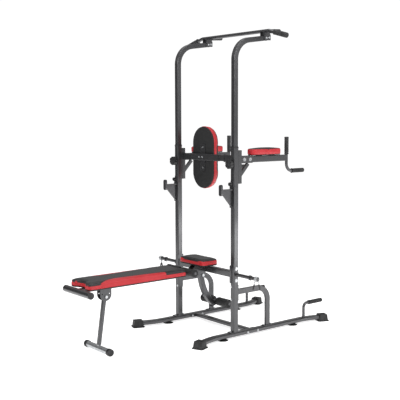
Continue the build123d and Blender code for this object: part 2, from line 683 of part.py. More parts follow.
for name, side in SIDES.items():
    with BuildPart() as dip_bracket:
        x = side * upright_x
        with BuildSketch(at(x, carriage_y, CARRIAGE_BOTTOM)):
            tube_section(CARRIAGE, CARRIAGE, 2, 4)
        extrude(amount=CARRIAGE_TOP - CARRIAGE_BOTTOM)
        low = point(x, carriage_back - 8, DIP_Z - 112)
        high = point(x, 122, DIP_Z - ARM_TALL / 2 - STUB_WALL - 6)
        with BuildLine() as brace_path:
            Line(low, high)
        with BuildSketch(Plane(origin=low, x_dir=(1, 0, 0), z_dir=brace_path.line % 0)):
            Rectangle(BRACE - 2, BRACE)
        sweep()
        with BuildSketch(facing_y(x, carriage_back - 1, DIP_Z)):
            Rectangle(ARM_WIDTH + 2 * STUB_WALL + FIT, ARM_TALL + 2 * STUB_WALL)
            with Locations((0, STUB_WALL / 2)):
                Rectangle(ARM_WIDTH + FIT, ARM_TALL + STUB_WALL + FIT, mode=Mode.SUBTRACT)
        extrude(amount=STUB_END - carriage_back)
        for y in DIP_BOLT_YS:
            drill(facing_x(side * (upright_x + face), y, DIP_Z, side), 2 * face)
    save(dip_bracket, f"{name}_dip_bracket")

with BuildPart() as dip_arms:
    for side in SIDES.values():
        x = side * upright_x
        with BuildSketch(facing_y(x, carriage_back + 1, DIP_Z)):
            tube_section(ARM_WIDTH, ARM_TALL, 2, 4)
        extrude(amount=DIP_REACH - HANDLE / 2 - carriage_back - 1)
        for y in DIP_BOLT_YS:
            drill(facing_x(side * (upright_x + face), y, DIP_Z, side), 2 * face)
save(dip_arms, "dip_arms")

DIP_BOLT_HEAD = 22
with BuildPart() as dip_arm_bolts:
    for side in SIDES.values():
        outer = ARM_WIDTH / 2 + STUB_WALL + FIT / 2
        for y in DIP_BOLT_YS:
            plane = facing_x(side * (upright_x + outer), y, DIP_Z, side)
            bolt(plane, 2 * outer + 1, washer=26, head=DIP_BOLT_HEAD)
            nut = facing_x(side * (upright_x - outer), y, DIP_Z, -side)
            post(nut, 20, 8)
save(dip_arm_bolts, "dip_arm_bolts")

GRIP_TOP = DIP_Z + 147
LOW_GRIP_Z = DIP_Z - 97
LOW_GRIP_END = 672
HANDLE_BEND = 52
with BuildPart() as dip_handles:
    for side in SIDES.values():
        x = side * upright_x
        with BuildLine() as dip_path:
            Line(point(x, DIP_REACH, GRIP_TOP), point(x, DIP_REACH, LOW_GRIP_Z + HANDLE_BEND))
            TangentArc(point(x, DIP_REACH, LOW_GRIP_Z + HANDLE_BEND),
                       point(x, DIP_REACH + HANDLE_BEND, LOW_GRIP_Z), tangent=(0, 0, -1))
            Line(point(x, DIP_REACH + HANDLE_BEND, LOW_GRIP_Z), point(x, LOW_GRIP_END, LOW_GRIP_Z))
        with BuildSketch(at(x, DIP_REACH, GRIP_TOP)):
            ring_section(HANDLE, HANDLE_WALL)
        sweep()
save(dip_handles, "dip_handles")

TALL_GRIP = 122
LOW_GRIP = 116
with BuildPart() as handle_grips:
    for side in SIDES.values():
        x = side * upright_x
        grip(facing_y(x, PUSH_Y + PUSH_REACH + NIP, PUSH_TOP), PUSH_GRIP, HANDLE)
        grip(at(x, DIP_REACH, GRIP_TOP + NIP), TALL_GRIP, HANDLE)
        grip(facing_y(x, LOW_GRIP_END + NIP, LOW_GRIP_Z), LOW_GRIP, HANDLE)
save(handle_grips, "handle_grips")

ARM_PAD_START = 138
ARM_PAD_LENGTH = 284
ARM_PAD_WIDTH = 86
ARM_PAD_THICK = 45
arm_top = DIP_Z + ARM_TALL / 2 + STUB_WALL + FIT
arm_pad_y = ARM_PAD_START + ARM_PAD_LENGTH / 2
with BuildPart() as arm_pad_boards:
    for side in SIDES.values():
        with BuildSketch(at(side * upright_x, arm_pad_y, arm_top)):
            RectangleRounded(ARM_PAD_WIDTH - 14, ARM_PAD_LENGTH - 14, 20)
        extrude(amount=THIN_BOARD - NIP)
        for y in (-ARM_PAD_LENGTH / 4 + 20, ARM_PAD_LENGTH / 4):
            with BuildSketch(at(side * upright_x, arm_pad_y + y, DIP_Z + ARM_TALL / 2 + NIP)):
                Rectangle(ARM_WIDTH - 3, 40)
            extrude(amount=arm_top - DIP_Z - ARM_TALL / 2)
save(arm_pad_boards, "arm_pad_boards")

for name, side in SIDES.items():
    with BuildPart() as arm_pad:
        with BuildSketch(at(side * upright_x, arm_pad_y, arm_top + THIN_BOARD)):
            RectangleRounded(ARM_PAD_WIDTH, ARM_PAD_LENGTH, 30)
        extrude(amount=ARM_PAD_THICK)
        fillet(arm_pad.faces().sort_by(Axis.Z)[-1].edges(), 6)
    save(arm_pad, f"{name}_arm_pad")

# ------------------------------------------------------------------ back rest
BACK_BAR_TALL = 48
BACK_BAR_DEPTH = 20
BACK_BAR_END = 112     # near end of the outer back bar, where the spigot of the stub enters
BACK_X = -88           # the rest is bolted to the middle of the outer back bar
BACK_WIDTH = 250
BACK_TALL = 466
SPIGOT = 60            # length of the stub inside the outer back bar
STUB_COLLAR_FROM = 62  # from the end of the outer bar to the stub's collar
STUB_COLLAR = 5
STRAP_BOLT_X = 18
BACK_THICK = 46
BOARD_INSET = 8
STRIP_WIDTH = 56
STRIP_TALL = 200
STRIP_THICK = 3
back_bar_z = DIP_Z + 5
back_bar_half = upright_x - CARRIAGE / 2 - NIP
strip_y = carriage_y + BACK_BAR_DEPTH / 2 + NIP
board_y = strip_y + STRIP_THICK + NIP
back_z = back_bar_z - 4
SCREW_ZS = (-74, 74)
collar_x = BACK_BAR_END + STUB_COLLAR_FROM

with BuildPart() as back_bar:
    with BuildSketch(facing_x(-back_bar_half, carriage_y, back_bar_z)):
        tube_section(BACK_BAR_DEPTH, BACK_BAR_TALL, 2, 3)
    extrude(amount=back_bar_half + BACK_BAR_END)
    for x in (-STRAP_BOLT_X, STRAP_BOLT_X):
        drill(facing_y(BACK_X + x, carriage_y - BACK_BAR_DEPTH / 2, back_bar_z, -1), BACK_BAR_DEPTH)
save(back_bar, "back_bar")

with BuildPart() as back_bar_stub:
    with BuildSketch(facing_x(BACK_BAR_END - SPIGOT, carriage_y, back_bar_z)):
        RectangleRounded(BACK_BAR_DEPTH - 4 - 2 * FIT, BACK_BAR_TALL - 4 - 2 * FIT, 1)
    extrude(amount=SPIGOT + STUB_COLLAR_FROM)
    with BuildSketch(facing_x(collar_x, carriage_y, back_bar_z)):
        Rectangle(BACK_BAR_DEPTH + 4, BACK_BAR_TALL + 6)
    extrude(amount=STUB_COLLAR)
    with BuildSketch(facing_x(collar_x + STUB_COLLAR, carriage_y, back_bar_z)):
        RectangleRounded(BACK_BAR_DEPTH, BACK_BAR_TALL, 3)
    extrude(amount=back_bar_half - collar_x - STUB_COLLAR)
save(back_bar_stub, "back_bar_stub")

with BuildPart() as back_bracket:
    with BuildSketch(facing_y(BACK_X, strip_y, back_z)):
        Rectangle(STRIP_WIDTH, STRIP_TALL)
    extrude(amount=STRIP_THICK)
    for z in SCREW_ZS:
        drill(facing_y(BACK_X, strip_y + STRIP_THICK, back_z + z), STRIP_THICK)
    for x in (-STRAP_BOLT_X, STRAP_BOLT_X):
        drill(facing_y(BACK_X + x, strip_y + STRIP_THICK, back_bar_z), STRIP_THICK)
save(back_bracket, "back_bracket")

with BuildPart() as back_board:
    with BuildSketch(facing_y(BACK_X, board_y, back_z)):
        SlotOverall(BACK_TALL - 2 * BOARD_INSET, BACK_WIDTH - 2 * BOARD_INSET, rotation=90)
    extrude(amount=BOARD)
    for z in SCREW_ZS:
        drill(facing_y(BACK_X, board_y + BOARD, back_z + z), BOARD)
    for x in (-STRAP_BOLT_X, STRAP_BOLT_X):
        drill(facing_y(BACK_X + x, board_y + BOARD, back_bar_z), BOARD, 20)
save(back_board, "back_board")

with BuildPart() as back_pad:
    with BuildSketch(facing_y(BACK_X, board_y + BOARD + NIP, back_z)):
        SlotOverall(BACK_TALL, BACK_WIDTH, rotation=90)
    extrude(amount=BACK_THICK)
    fillet(back_pad.faces().sort_by(Axis.Y)[-1].edges(), 8)
save(back_pad, "back_pad")

with BuildPart() as back_screws:
    for z in SCREW_ZS:
        bolt(facing_y(BACK_X, strip_y, back_z + z, -1), STRIP_THICK + BOARD - 1, washer=15, head=11)
    for x in (-STRAP_BOLT_X, STRAP_BOLT_X):
        bolt(facing_y(BACK_X + x, carriage_y - BACK_BAR_DEPTH / 2, back_bar_z, -1),
             BACK_BAR_DEPTH + STRIP_THICK + 4, washer=15, head=12)
save(back_screws, "back_screws")

# ------------------------------------------------------------------ barbell hooks
HOOK_TOP = 1056        # where the barbell rests
HOOK_TALL = 150
HOOK_PLATE = 4
HOOK_WRAP = 26
HOOK_REACH = 132       # outer face of the lip
HOOK_WIDTH = 30
HOOK_REST = 8
GUSSET = 10
LIP = 15
LIP_ABOVE = 34
LIP_BELOW = 44
hook_out = face + FIT + HOOK_PLATE
hook_bottom = HOOK_TOP + 18 - HOOK_TALL
HOOK_KNOB_Z = HOOK_TOP + 34
HOOK_KNOB = 26
HOOK_BOSS = 9

for name, side in SIDES.items():
    x = side * upright_x
    with BuildPart() as bar_hook:
        with BuildSketch(at(x, 0, hook_bottom)):
            with Locations((0, -hook_out + HOOK_WRAP / 2)):
                Rectangle(TUBE + 2 * FIT + 2 * HOOK_PLATE, HOOK_WRAP)
            Rectangle(TUBE + 2 * FIT, TUBE + 2 * FIT, mode=Mode.SUBTRACT)
        extrude(amount=HOOK_TALL)
        with BuildSketch(facing_y(x, -hook_out, HOOK_KNOB_Z, -1)):
            RectangleRounded(HOOK_KNOB + 4, 2 * (HOOK_KNOB_Z - HOOK_TOP - 18) + 20, 6)
        extrude(amount=-HOOK_PLATE)
        post(facing_y(x, -hook_out, HOOK_KNOB_Z, -1), 20, HOOK_BOSS)
        post(facing_y(x, -hook_out + HOOK_PLATE, HOOK_KNOB_Z, -1), 8 + 2 * RUN, HOOK_BOSS + HOOK_PLATE,
             Mode.SUBTRACT)
        with BuildSketch(facing_x(x - HOOK_WIDTH / 2, 0, 0)):
            with BuildLine():
                Polyline((-hook_out + 1, HOOK_TOP), (-HOOK_REACH + 2, HOOK_TOP),
                         (-HOOK_REACH + 2, HOOK_TOP - HOOK_REST), (-hook_out + 1, HOOK_TOP - HOOK_REST),
                         close=True)
            make_face()
        extrude(amount=HOOK_WIDTH)
        with BuildSketch(facing_x(x - GUSSET / 2, 0, 0)):
            with BuildLine():
                Polyline((-hook_out + 1, HOOK_TOP - HOOK_REST + 1),
                         (-HOOK_REACH + 4, HOOK_TOP - HOOK_REST + 1),
                         (-HOOK_REACH + 18, HOOK_TOP - 34), (-hook_out - 8, hook_bottom + 8),
                         (-hook_out + 1, hook_bottom + 8), close=True)
            make_face()
        extrude(amount=GUSSET)
        with BuildSketch(facing_y(x, -HOOK_REACH + LIP, HOOK_TOP + (LIP_ABOVE - LIP_BELOW) / 2, -1)):
            SlotOverall(LIP_ABOVE + LIP_BELOW, HOOK_WIDTH - 2, rotation=90)
        extrude(amount=LIP)
    save(bar_hook, f"{name}_bar_hook")

    with BuildPart() as hook_knob:
        mouth = facing_y(x, -hook_out - HOOK_BOSS - GAP, HOOK_KNOB_Z, -1)
        lobed_knob(mouth, HOOK_KNOB, 14, 0)
        post(mouth, 8, -(HOOK_BOSS + GAP + HOOK_PLATE))
    save(hook_knob, f"{name}_hook_knob")

# ------------------------------------------------------------------ upper frame
BAR = 26
BAR_WALL = 2
BAR_HALF = 370         # straight part of the pull-up bar
BAR_END_X = 540
BAR_DROP = 46
NEUTRAL_REACH = 146
NEUTRAL_RISE = 9
CLAMP_PLATE = 5
CLAMP_LENGTH = 58
CLAMP_BOLT_PITCH = 24
END_GRIP = 122
NEUTRAL_GRIP = 96

rise = math.radians(BAR_RISE)
bend_turn = math.radians(90 - BAR_RISE)
bend_y = BAR_BEND * (1 - math.cos(bend_turn))
bend_z = BAR_BEND * math.sin(bend_turn)
arm_reach = BAR_REACH + 38
arm_run = (arm_reach - bend_y) / math.cos(rise)
neutral_run = math.hypot(NEUTRAL_REACH, NEUTRAL_RISE)
neutral_way = Vector(0, NEUTRAL_REACH / neutral_run, NEUTRAL_RISE / neutral_run)
arm_end_z = BAR_HEIGHT - BAR / 2 - INNER_TUBE / 2 - 12
bend_start = arm_end_z - arm_run * math.sin(rise) - bend_z


def clamp_z(y):
    """Centre height of the upper arm at a distance from the uprights."""
    return arm_end_z - (arm_reach - y) * math.tan(rise)


for name, side in SIDES.items():
    x = side * upright_x
    with BuildPart() as upper_tube:
        with BuildLine() as upper_path:
            Line(point(x, 0, LOWER_TOP - ENGAGED), point(x, 0, bend_start))
            TangentArc(point(x, 0, bend_start), point(x, bend_y, bend_start + bend_z), tangent=(0, 0, 1))
            Line(point(x, bend_y, bend_start + bend_z), point(x, arm_reach, arm_end_z))
        with BuildSketch(at(x, 0, LOWER_TOP - ENGAGED)):
            tube_section(INNER_TUBE, INNER_TUBE, INNER_WALL, TUBE_CORNER - 1)
        sweep()
    save(upper_tube, f"{name}_upper_tube")

with BuildPart() as pull_up_bar:
    start = point(-BAR_END_X, BAR_REACH, BAR_HEIGHT - BAR_DROP)
    with BuildLine() as bar_path:
        FilletPolyline(start, point(-BAR_HALF, BAR_REACH, BAR_HEIGHT), point(BAR_HALF, BAR_REACH, BAR_HEIGHT),
                       point(BAR_END_X, BAR_REACH, BAR_HEIGHT - BAR_DROP), radius=90)
    with BuildSketch(Plane(origin=start, z_dir=bar_path.line % 0)):
        ring_section(BAR, BAR_WALL)
    sweep()
    for side in SIDES.values():
        neutral = Plane(origin=point(side * upright_x, BAR_REACH, BAR_HEIGHT), x_dir=(1, 0, 0),
                        z_dir=neutral_way)
        root = BAR / 2 - BAR_WALL / 2
        with BuildSketch(neutral.offset(root)):
            ring_section(HANDLE, HANDLE_WALL)
        extrude(amount=neutral_run - root)
save(pull_up_bar, "pull_up_bar")

with BuildPart() as bar_clamps:
    for side in SIDES.values():
        for inner in (-1, 1):
            x = side * upright_x + inner * (INNER_TUBE / 2 + NIP)
            with BuildSketch(facing_x(x, 0, 0, inner)):
                with BuildLine():
                    low = BAR_REACH - 20
                    high = arm_reach + 2
                    outline = [(low, clamp_z(low) - 14), (high, clamp_z(high) - 20),
                               (high, clamp_z(high) + 18), (BAR_REACH + 19, BAR_HEIGHT - 4),
                               (BAR_REACH - 19, BAR_HEIGHT - 4)]
                    Polyline(*[(inner * y, z) for y, z in outline], close=True)
                make_face()
            extrude(amount=CLAMP_PLATE)
            for step in (0, 1):
                y = arm_reach - 12 - step * CLAMP_BOLT_PITCH
                drill(facing_x(x + inner * CLAMP_PLATE, y, clamp_z(y), inner), CLAMP_PLATE)
    for side in SIDES.values():
        post(facing_x(side * upright_x - INNER_TUBE, BAR_REACH, BAR_HEIGHT), BAR + NIP,
             2 * INNER_TUBE, Mode.SUBTRACT)
save(bar_clamps, "bar_clamps")

with BuildPart() as bar_clamp_bolts:
    for side in SIDES.values():
        for inner in (-1, 1):
            x = side * upright_x + inner * (INNER_TUBE / 2 + NIP + CLAMP_PLATE)
            for step in (0, 1):
                y = arm_reach - 12 - step * CLAMP_BOLT_PITCH
                bolt(facing_x(x, y, clamp_z(y), inner), CLAMP_PLATE, washer=16, head=13)
save(bar_clamp_bolts, "bar_clamp_bolts")

with BuildPart() as pull_up_grips:
    for side in SIDES.values():
        tip = Vector(*point(side * BAR_END_X, BAR_REACH, BAR_HEIGHT - BAR_DROP))
        inward = Vector(*point(side * BAR_HALF, BAR_REACH, BAR_HEIGHT))
        grip(Plane(origin=tip + (tip - inward).normalized() * NIP, z_dir=tip - inward), END_GRIP, BAR)
        end = Vector(*point(side * upright_x, BAR_REACH, BAR_HEIGHT)) + neutral_way * (neutral_run + NIP)
        grip(Plane(origin=end, x_dir=(1, 0, 0), z_dir=neutral_way), NEUTRAL_GRIP, HANDLE, 4)
save(pull_up_grips, "pull_up_grips")

# ------------------------------------------------------------------ fasteners of the frame
with BuildPart() as frame_bolts:
    for side in SIDES.values():
        outer = side * (upright_x + RAIL_WIDTH / 2 + NIP)
        for y in (-BASE_BOLT_SPAN / 2, BASE_BOLT_SPAN / 2):
            bolt(facing_x(outer, BASE_BAR_Y + y, rail_mid, side), NIP / 2, washer=16, head=13)
            bolt(facing_x(side * (base_bar_half - NIP), BASE_BAR_Y + y, rail_mid, -side), flange - 1,
                 washer=16, head=13)
        for y in (-FOOT_BOLT_Y, FOOT_BOLT_Y):
            bolt(at(side * upright_x, y, upright_base + NIP), FOOT_PLATE)
        for y in (ARCH_LEG_Y - ARCH_FOOT_BOLT_Y, ARCH_LEG_Y + ARCH_FOOT_BOLT_Y):
            bolt(at(side * upright_x, y, upright_base + NIP), FOOT_PLATE, washer=15, head=12)
        for z in (-CROSS_BOLT_SPAN / 2, CROSS_BOLT_SPAN / 2):
            bolt(facing_x(side * (upright_x + face + NIP), 0, CROSSBAR_Z + z, side), NIP / 2,
                 washer=24, head=15)
        for z in (-ARCH_BOLT_SPAN / 2, ARCH_BOLT_SPAN / 2):
            bolt(facing_y(side * (upright_x - 8), -face - NIP, ARCH_PLATE_Z + z, -1), NIP / 2, washer=17)
save(frame_bolts, "frame_bolts")
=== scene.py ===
"""Upholstery, rubber, hardware and finishes of a power tower with a folding bench."""

import math

import bmesh
import bpy
import numpy as np
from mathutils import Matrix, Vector


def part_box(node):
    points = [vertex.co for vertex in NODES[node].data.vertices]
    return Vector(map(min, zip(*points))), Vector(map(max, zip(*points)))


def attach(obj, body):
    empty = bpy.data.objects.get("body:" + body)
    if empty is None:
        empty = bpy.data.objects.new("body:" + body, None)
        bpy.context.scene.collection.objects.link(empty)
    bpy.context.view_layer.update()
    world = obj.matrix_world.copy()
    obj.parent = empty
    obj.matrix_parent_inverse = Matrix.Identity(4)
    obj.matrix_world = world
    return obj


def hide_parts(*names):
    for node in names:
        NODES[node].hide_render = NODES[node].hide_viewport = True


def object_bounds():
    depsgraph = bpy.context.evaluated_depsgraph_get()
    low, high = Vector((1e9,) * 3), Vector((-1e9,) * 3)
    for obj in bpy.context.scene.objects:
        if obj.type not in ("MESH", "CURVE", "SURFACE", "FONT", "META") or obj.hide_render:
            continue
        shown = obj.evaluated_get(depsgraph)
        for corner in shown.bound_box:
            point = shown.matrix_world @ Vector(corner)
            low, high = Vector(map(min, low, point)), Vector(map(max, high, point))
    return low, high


bl_info = {
    "name": "Power Tower",
    "version": (1, 0, 0),
    "blender": (4, 5, 0),
    "location": "3D View > Sidebar > Power Tower",
    "description": "Builds the pads, grips, rollers, welds and finishes of a power tower",
    "category": "Object",
}

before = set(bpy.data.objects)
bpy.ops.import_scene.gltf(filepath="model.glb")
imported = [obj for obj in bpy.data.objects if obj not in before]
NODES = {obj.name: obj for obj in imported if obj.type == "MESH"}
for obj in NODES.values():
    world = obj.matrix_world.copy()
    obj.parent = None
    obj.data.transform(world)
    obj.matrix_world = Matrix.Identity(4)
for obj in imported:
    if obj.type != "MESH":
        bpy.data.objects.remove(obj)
cad_box = [list(corner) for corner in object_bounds()]
MM = 0.001

# ------------------------------------------------------------------ colours


def linear(code):
    """Turn an sRGB hex colour into linear RGB."""
    channels = [int(code[i:i + 2], 16) / 255 for i in (1, 3, 5)]
    return tuple(c / 12.92 if c <= 0.04045 else ((c + 0.055) / 1.055) ** 2.4 for c in channels)


def rgba(colour):
    """Give a linear colour an alpha of one."""
    return (*tuple(colour)[:3], 1.0)


class TowerColours(bpy.types.PropertyGroup):
    """Colours of the machine that an owner could choose."""

    lacquer: bpy.props.FloatVectorProperty(
        name="Lacquer", description="Metallic lacquer on all the steel tube",
        subtype="COLOR", default=linear("#535355"), min=0, max=1)
    vinyl_side: bpy.props.FloatVectorProperty(
        name="Side vinyl", description="Vinyl round the sides of the pads and in the bench's inlays",
        subtype="COLOR", default=linear("#C21B25"), min=0, max=1)
    vinyl_top: bpy.props.FloatVectorProperty(
        name="Top vinyl", description="Vinyl on the tops of the pads",
        subtype="COLOR", default=linear("#18181A"), min=0, max=1)
    rubber: bpy.props.FloatVectorProperty(
        name="Rubber", description="Hand grips, boots and suction cups",
        subtype="COLOR", default=linear("#141415"), min=0, max=1)


class TowerSizes(bpy.types.PropertyGroup):
    """Sizes of the details that an owner could choose."""

    rib_pitch: bpy.props.FloatProperty(
        name="Rib pitch", description="Distance from rib to rib on a hand grip",
        default=7 * MM, min=3 * MM, max=20 * MM, subtype="DISTANCE", unit="LENGTH")
    seam_depth: bpy.props.FloatProperty(
        name="Seam depth", description="How far a seam sinks into the pad",
        default=1.6 * MM, min=0, max=4 * MM, subtype="DISTANCE", unit="LENGTH")
    pad_rise: bpy.props.FloatProperty(
        name="Pad rise", description="The furthest that the foam swells while the pad is shaped",
        default=7 * MM, min=0, max=20 * MM, subtype="DISTANCE", unit="LENGTH")
    inlay_width: bpy.props.FloatProperty(
        name="Inlay width", description="Widest part of the wave-shaped inlays of the bench",
        default=46 * MM, min=0, max=70 * MM, subtype="DISTANCE", unit="LENGTH")
    weld_size: bpy.props.FloatProperty(
        name="Weld size", description="Thickness of a weld bead",
        default=4.2 * MM, min=1 * MM, max=8 * MM, subtype="DISTANCE", unit="LENGTH")


# ------------------------------------------------------------------ materials


def add_node(tree, kind, inputs=None, **settings):
    """Add one shader node, with its settings, values and links."""
    node = tree.nodes.new(kind)
    for key, value in settings.items():
        setattr(node, key, value)
    for key, value in (inputs or {}).items():
        if isinstance(value, bpy.types.NodeSocket):
            tree.links.new(value, node.inputs[key])
        else:
            node.inputs[key].default_value = value
    return node


def blank_material(name):
    """A material with one Principled shader. Returns it, its tree, its shader and the coordinates."""
    material = bpy.data.materials.new(name)
    material.use_nodes = True
    tree = material.node_tree
    shader = next(n for n in tree.nodes if n.type == "BSDF_PRINCIPLED")
    place = add_node(tree, "ShaderNodeTexCoord").outputs["Object"]
    return material, tree, shader, place


def speckle(tree, place, size_mm, detail=2.0, roughness=0.5):
    """Noise whose features are about size_mm across."""
    return add_node(tree, "ShaderNodeTexNoise",
                    {"Vector": place, "Scale": 1000 / size_mm, "Detail": detail,
                     "Roughness": roughness}).outputs["Fac"]


def ramp(tree, value, low, high, to_low=0.0, to_high=1.0):
    """Map a value from one range to another, with its ends held."""
    return add_node(tree, "ShaderNodeMapRange",
                    {"Value": value, "From Min": low, "From Max": high, "To Min": to_low,
                     "To Max": to_high}).outputs["Result"]


def blend_colours(tree, share, first, second):
    """Mix two colours by a share."""
    node = add_node(tree, "ShaderNodeMix", {"Factor": share}, data_type="RGBA")
    for socket, colour in ((node.inputs[6], first), (node.inputs[7], second)):
        if isinstance(colour, bpy.types.NodeSocket):
            tree.links.new(colour, socket)
        else:
            socket.default_value = rgba(colour)
    return node.outputs[2]


def bumps(tree, shader, height, depth_mm, strength=1.0):
    """Feed a height to the shader's normal."""
    normal = add_node(tree, "ShaderNodeBump",
                      {"Height": height, "Distance": depth_mm * MM, "Strength": strength})
    tree.links.new(normal.outputs["Normal"], shader.inputs["Normal"])


def sharp_edge_mask(tree, radius_mm):
    """Near 1 on sharp outer edges and 0 on flats."""
    rounded = add_node(tree, "ShaderNodeBevel", {"Radius": radius_mm * MM}, samples=4)
    flat = add_node(tree, "ShaderNodeNewGeometry")
    turn = add_node(tree, "ShaderNodeVectorMath",
                    {0: rounded.outputs["Normal"], 1: flat.outputs["Normal"]},
                    operation="DOT_PRODUCT").outputs["Value"]
    return ramp(tree, turn, 0.985, 0.86)


def shade(tone, amount):
    """Lighten or darken a linear colour."""
    return tuple(min(1.0, c * amount) for c in tuple(tone)[:3])


def metallic_lacquer(colours):
    """Sprayed metallic lacquer on steel tube: dark grey, with fine flake and a clear gloss."""
    material, tree, shader, place = blank_material("metallic_lacquer_on_steel")
    tone = colours.lacquer
    # flakes are under 0.1 mm, drawn at 0.9 mm so that they show
    flake = ramp(tree, speckle(tree, place, 0.9, 1.0), 0.35, 0.7)
    cloud = ramp(tree, speckle(tree, place, 90, 3.0), 0.3, 0.7)
    body = blend_colours(tree, flake, shade(tone, 0.95), shade(tone, 1.06))
    body = blend_colours(tree, ramp(tree, cloud, 0, 1, 0.0, 0.16), body, shade(tone, 0.6))
    # patchy pale grey along the sharp edges: partly chipped lacquer, partly a painted highlight on the tube
    # corners
    chips = speckle(tree, place, 5, 3.0, 0.7)
    edge = add_node(tree, "ShaderNodeMath", {0: sharp_edge_mask(tree, 1.2), 1: ramp(tree, chips, 0.42, 0.62)},
                    operation="MULTIPLY").outputs["Value"]
    wear_and_highlight = blend_colours(tree, ramp(tree, edge, 0, 1, 0.0, 0.45), body, linear("#A6A8AA"))
    tree.links.new(wear_and_highlight, shader.inputs["Base Color"])
    tree.links.new(ramp(tree, cloud, 0, 1, 0.27, 0.36), shader.inputs["Roughness"])
    shader.inputs["Metallic"].default_value = 0.75
    shader.inputs["Coat Weight"].default_value = 0.35
    shader.inputs["Coat Roughness"].default_value = 0.12
    # orange peel of the spray, 3 to 4 mm across
    bumps(tree, shader, speckle(tree, place, 3.5, 1.0), 0.02, 0.03)
    return material


def plated_steel(name, code, roughness, streak_mm=14):
    """Zinc or chrome plate: bright, slightly clouded metal."""
    material, tree, shader, place = blank_material(name)
    cloud = ramp(tree, speckle(tree, place, streak_mm, 4.0), 0.3, 0.7)
    fine = speckle(tree, place, 1.2, 2.0)
    tone = linear(code)
    colour = blend_colours(tree, cloud, shade(tone, 0.86), tone)
    tree.links.new(colour, shader.inputs["Base Color"])
    tree.links.new(ramp(tree, cloud, 0, 1, roughness * 0.85, roughness * 1.3), shader.inputs["Roughness"])
    shader.inputs["Metallic"].default_value = 1.0
    bumps(tree, shader, fine, 0.03, 0.4)
    return material


def leg_finish(colours):
    """The bench leg: lacquered tube above, bright plated tube at the foot."""
    material = metallic_lacquer(colours)
    material.name = "lacquer_and_bright_plate"
    tree = material.node_tree
    shader = next(n for n in tree.nodes if n.type == "BSDF_PRINCIPLED")
    place = next(n for n in tree.nodes if n.type == "TEX_COORD").outputs["Object"]
    height = add_node(tree, "ShaderNodeSeparateXYZ", {"Vector": place}).outputs["Z"]
    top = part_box("leg_foot_caps")[1].z
    plate = ramp(tree, height, top - 0.5 * MM, top - 1.0 * MM)
    painted = shader.inputs["Base Color"].links[0].from_socket
    cloud = ramp(tree, speckle(tree, place, 16, 3.0), 0.3, 0.7)
    bright = blend_colours(tree, cloud, linear("#9B9DA0"), linear("#C6C8CA"))
    tree.links.new(blend_colours(tree, plate, painted, bright), shader.inputs["Base Color"])
    return material


def moulded(name, tone, roughness, grain_mm, grain_depth_mm, dust=0.12):
    """Moulded black plastic or rubber: spark-eroded grain, faint dust and scuffed edges."""
    material, tree, shader, place = blank_material(name)
    cloud = ramp(tree, speckle(tree, place, 35, 4.0), 0.35, 0.75)
    grain = speckle(tree, place, grain_mm, 2.0)
    colour = blend_colours(tree, ramp(tree, cloud, 0, 1, 0.0, dust), tone, linear("#6E6E70"))
    colour = blend_colours(tree, ramp(tree, sharp_edge_mask(tree, 1.0), 0, 1, 0.0, 0.22), colour,
                           linear("#5A5A5C"))
    tree.links.new(colour, shader.inputs["Base Color"])
    tree.links.new(ramp(tree, grain, 0.3, 0.7, roughness - 0.06, roughness + 0.08),
                   shader.inputs["Roughness"])
    bumps(tree, shader, grain, grain_depth_mm, 0.6)
    return material


def foam_skin():
    """Closed-cell foam sleeve, cut and slightly shiny: pinhole cells and long soft dents."""
    material, tree, shader, place = blank_material("closed_cell_foam")
    cells = add_node(tree, "ShaderNodeTexVoronoi", {"Vector": place, "Scale": 1000 / 1.6}).outputs["Distance"]
    dents = speckle(tree, place, 22, 3.0)
    colour = blend_colours(tree, ramp(tree, cells, 0.1, 0.7), linear("#101011"), linear("#262627"))
    tree.links.new(colour, shader.inputs["Base Color"])
    tree.links.new(ramp(tree, dents, 0.3, 0.7, 0.62, 0.8), shader.inputs["Roughness"])
    bumps(tree, shader, cells, 0.25, 0.5)
    return material


def upholstery_vinyl(name, colours):
    """Embossed vinyl over foam: leather-like grain, two colours that meet at a welted seam."""
    material, tree, shader, place = blank_material(name)
    tone = add_node(tree, "ShaderNodeAttribute", attribute_name="tone").outputs["Fac"]
    on_top = ramp(tree, tone, -0.35, 0.35)
    # embossed pebbles of 1 to 2 mm
    pebble = add_node(tree, "ShaderNodeTexVoronoi",
                      {"Vector": place, "Scale": 1000 / 1.7, "Randomness": 0.9},
                      feature="SMOOTH_F1").outputs["Distance"]
    crease = speckle(tree, place, 9, 5.0, 0.6)
    rub = ramp(tree, speckle(tree, place, 70, 3.0), 0.35, 0.7)
    red = blend_colours(tree, ramp(tree, pebble, 0.1, 0.6, 0.35, 0.0), colours.vinyl_side,
                        shade(colours.vinyl_side, 0.55))
    red = blend_colours(tree, ramp(tree, rub, 0, 1, 0.0, 0.14), red, linear("#E2525A"))
    black = blend_colours(tree, ramp(tree, pebble, 0.1, 0.6, 0.5, 0.0), colours.vinyl_top,
                          shade(colours.vinyl_top, 0.5))
    black = blend_colours(tree, ramp(tree, rub, 0, 1, 0.0, 0.2), black, linear("#3A3A3D"))
    colour = blend_colours(tree, on_top, red, black)
    # thread and shadow in the seam
    seam = add_node(tree, "ShaderNodeMath", {0: tone}, operation="ABSOLUTE").outputs["Value"]
    colour = blend_colours(tree, ramp(tree, seam, 0.9, 0.4, 0.0, 0.75), colour, linear("#120607"))
    tree.links.new(colour, shader.inputs["Base Color"])
    tree.links.new(ramp(tree, crease, 0.3, 0.7, 0.36, 0.5), shader.inputs["Roughness"])
    height = add_node(tree, "ShaderNodeMath", {0: pebble, 1: crease},
                      operation="MULTIPLY_ADD").outputs["Value"]
    bumps(tree, shader, height, 0.16, 0.55)
    shader.inputs["Sheen Weight"].default_value = 0.06
    return material


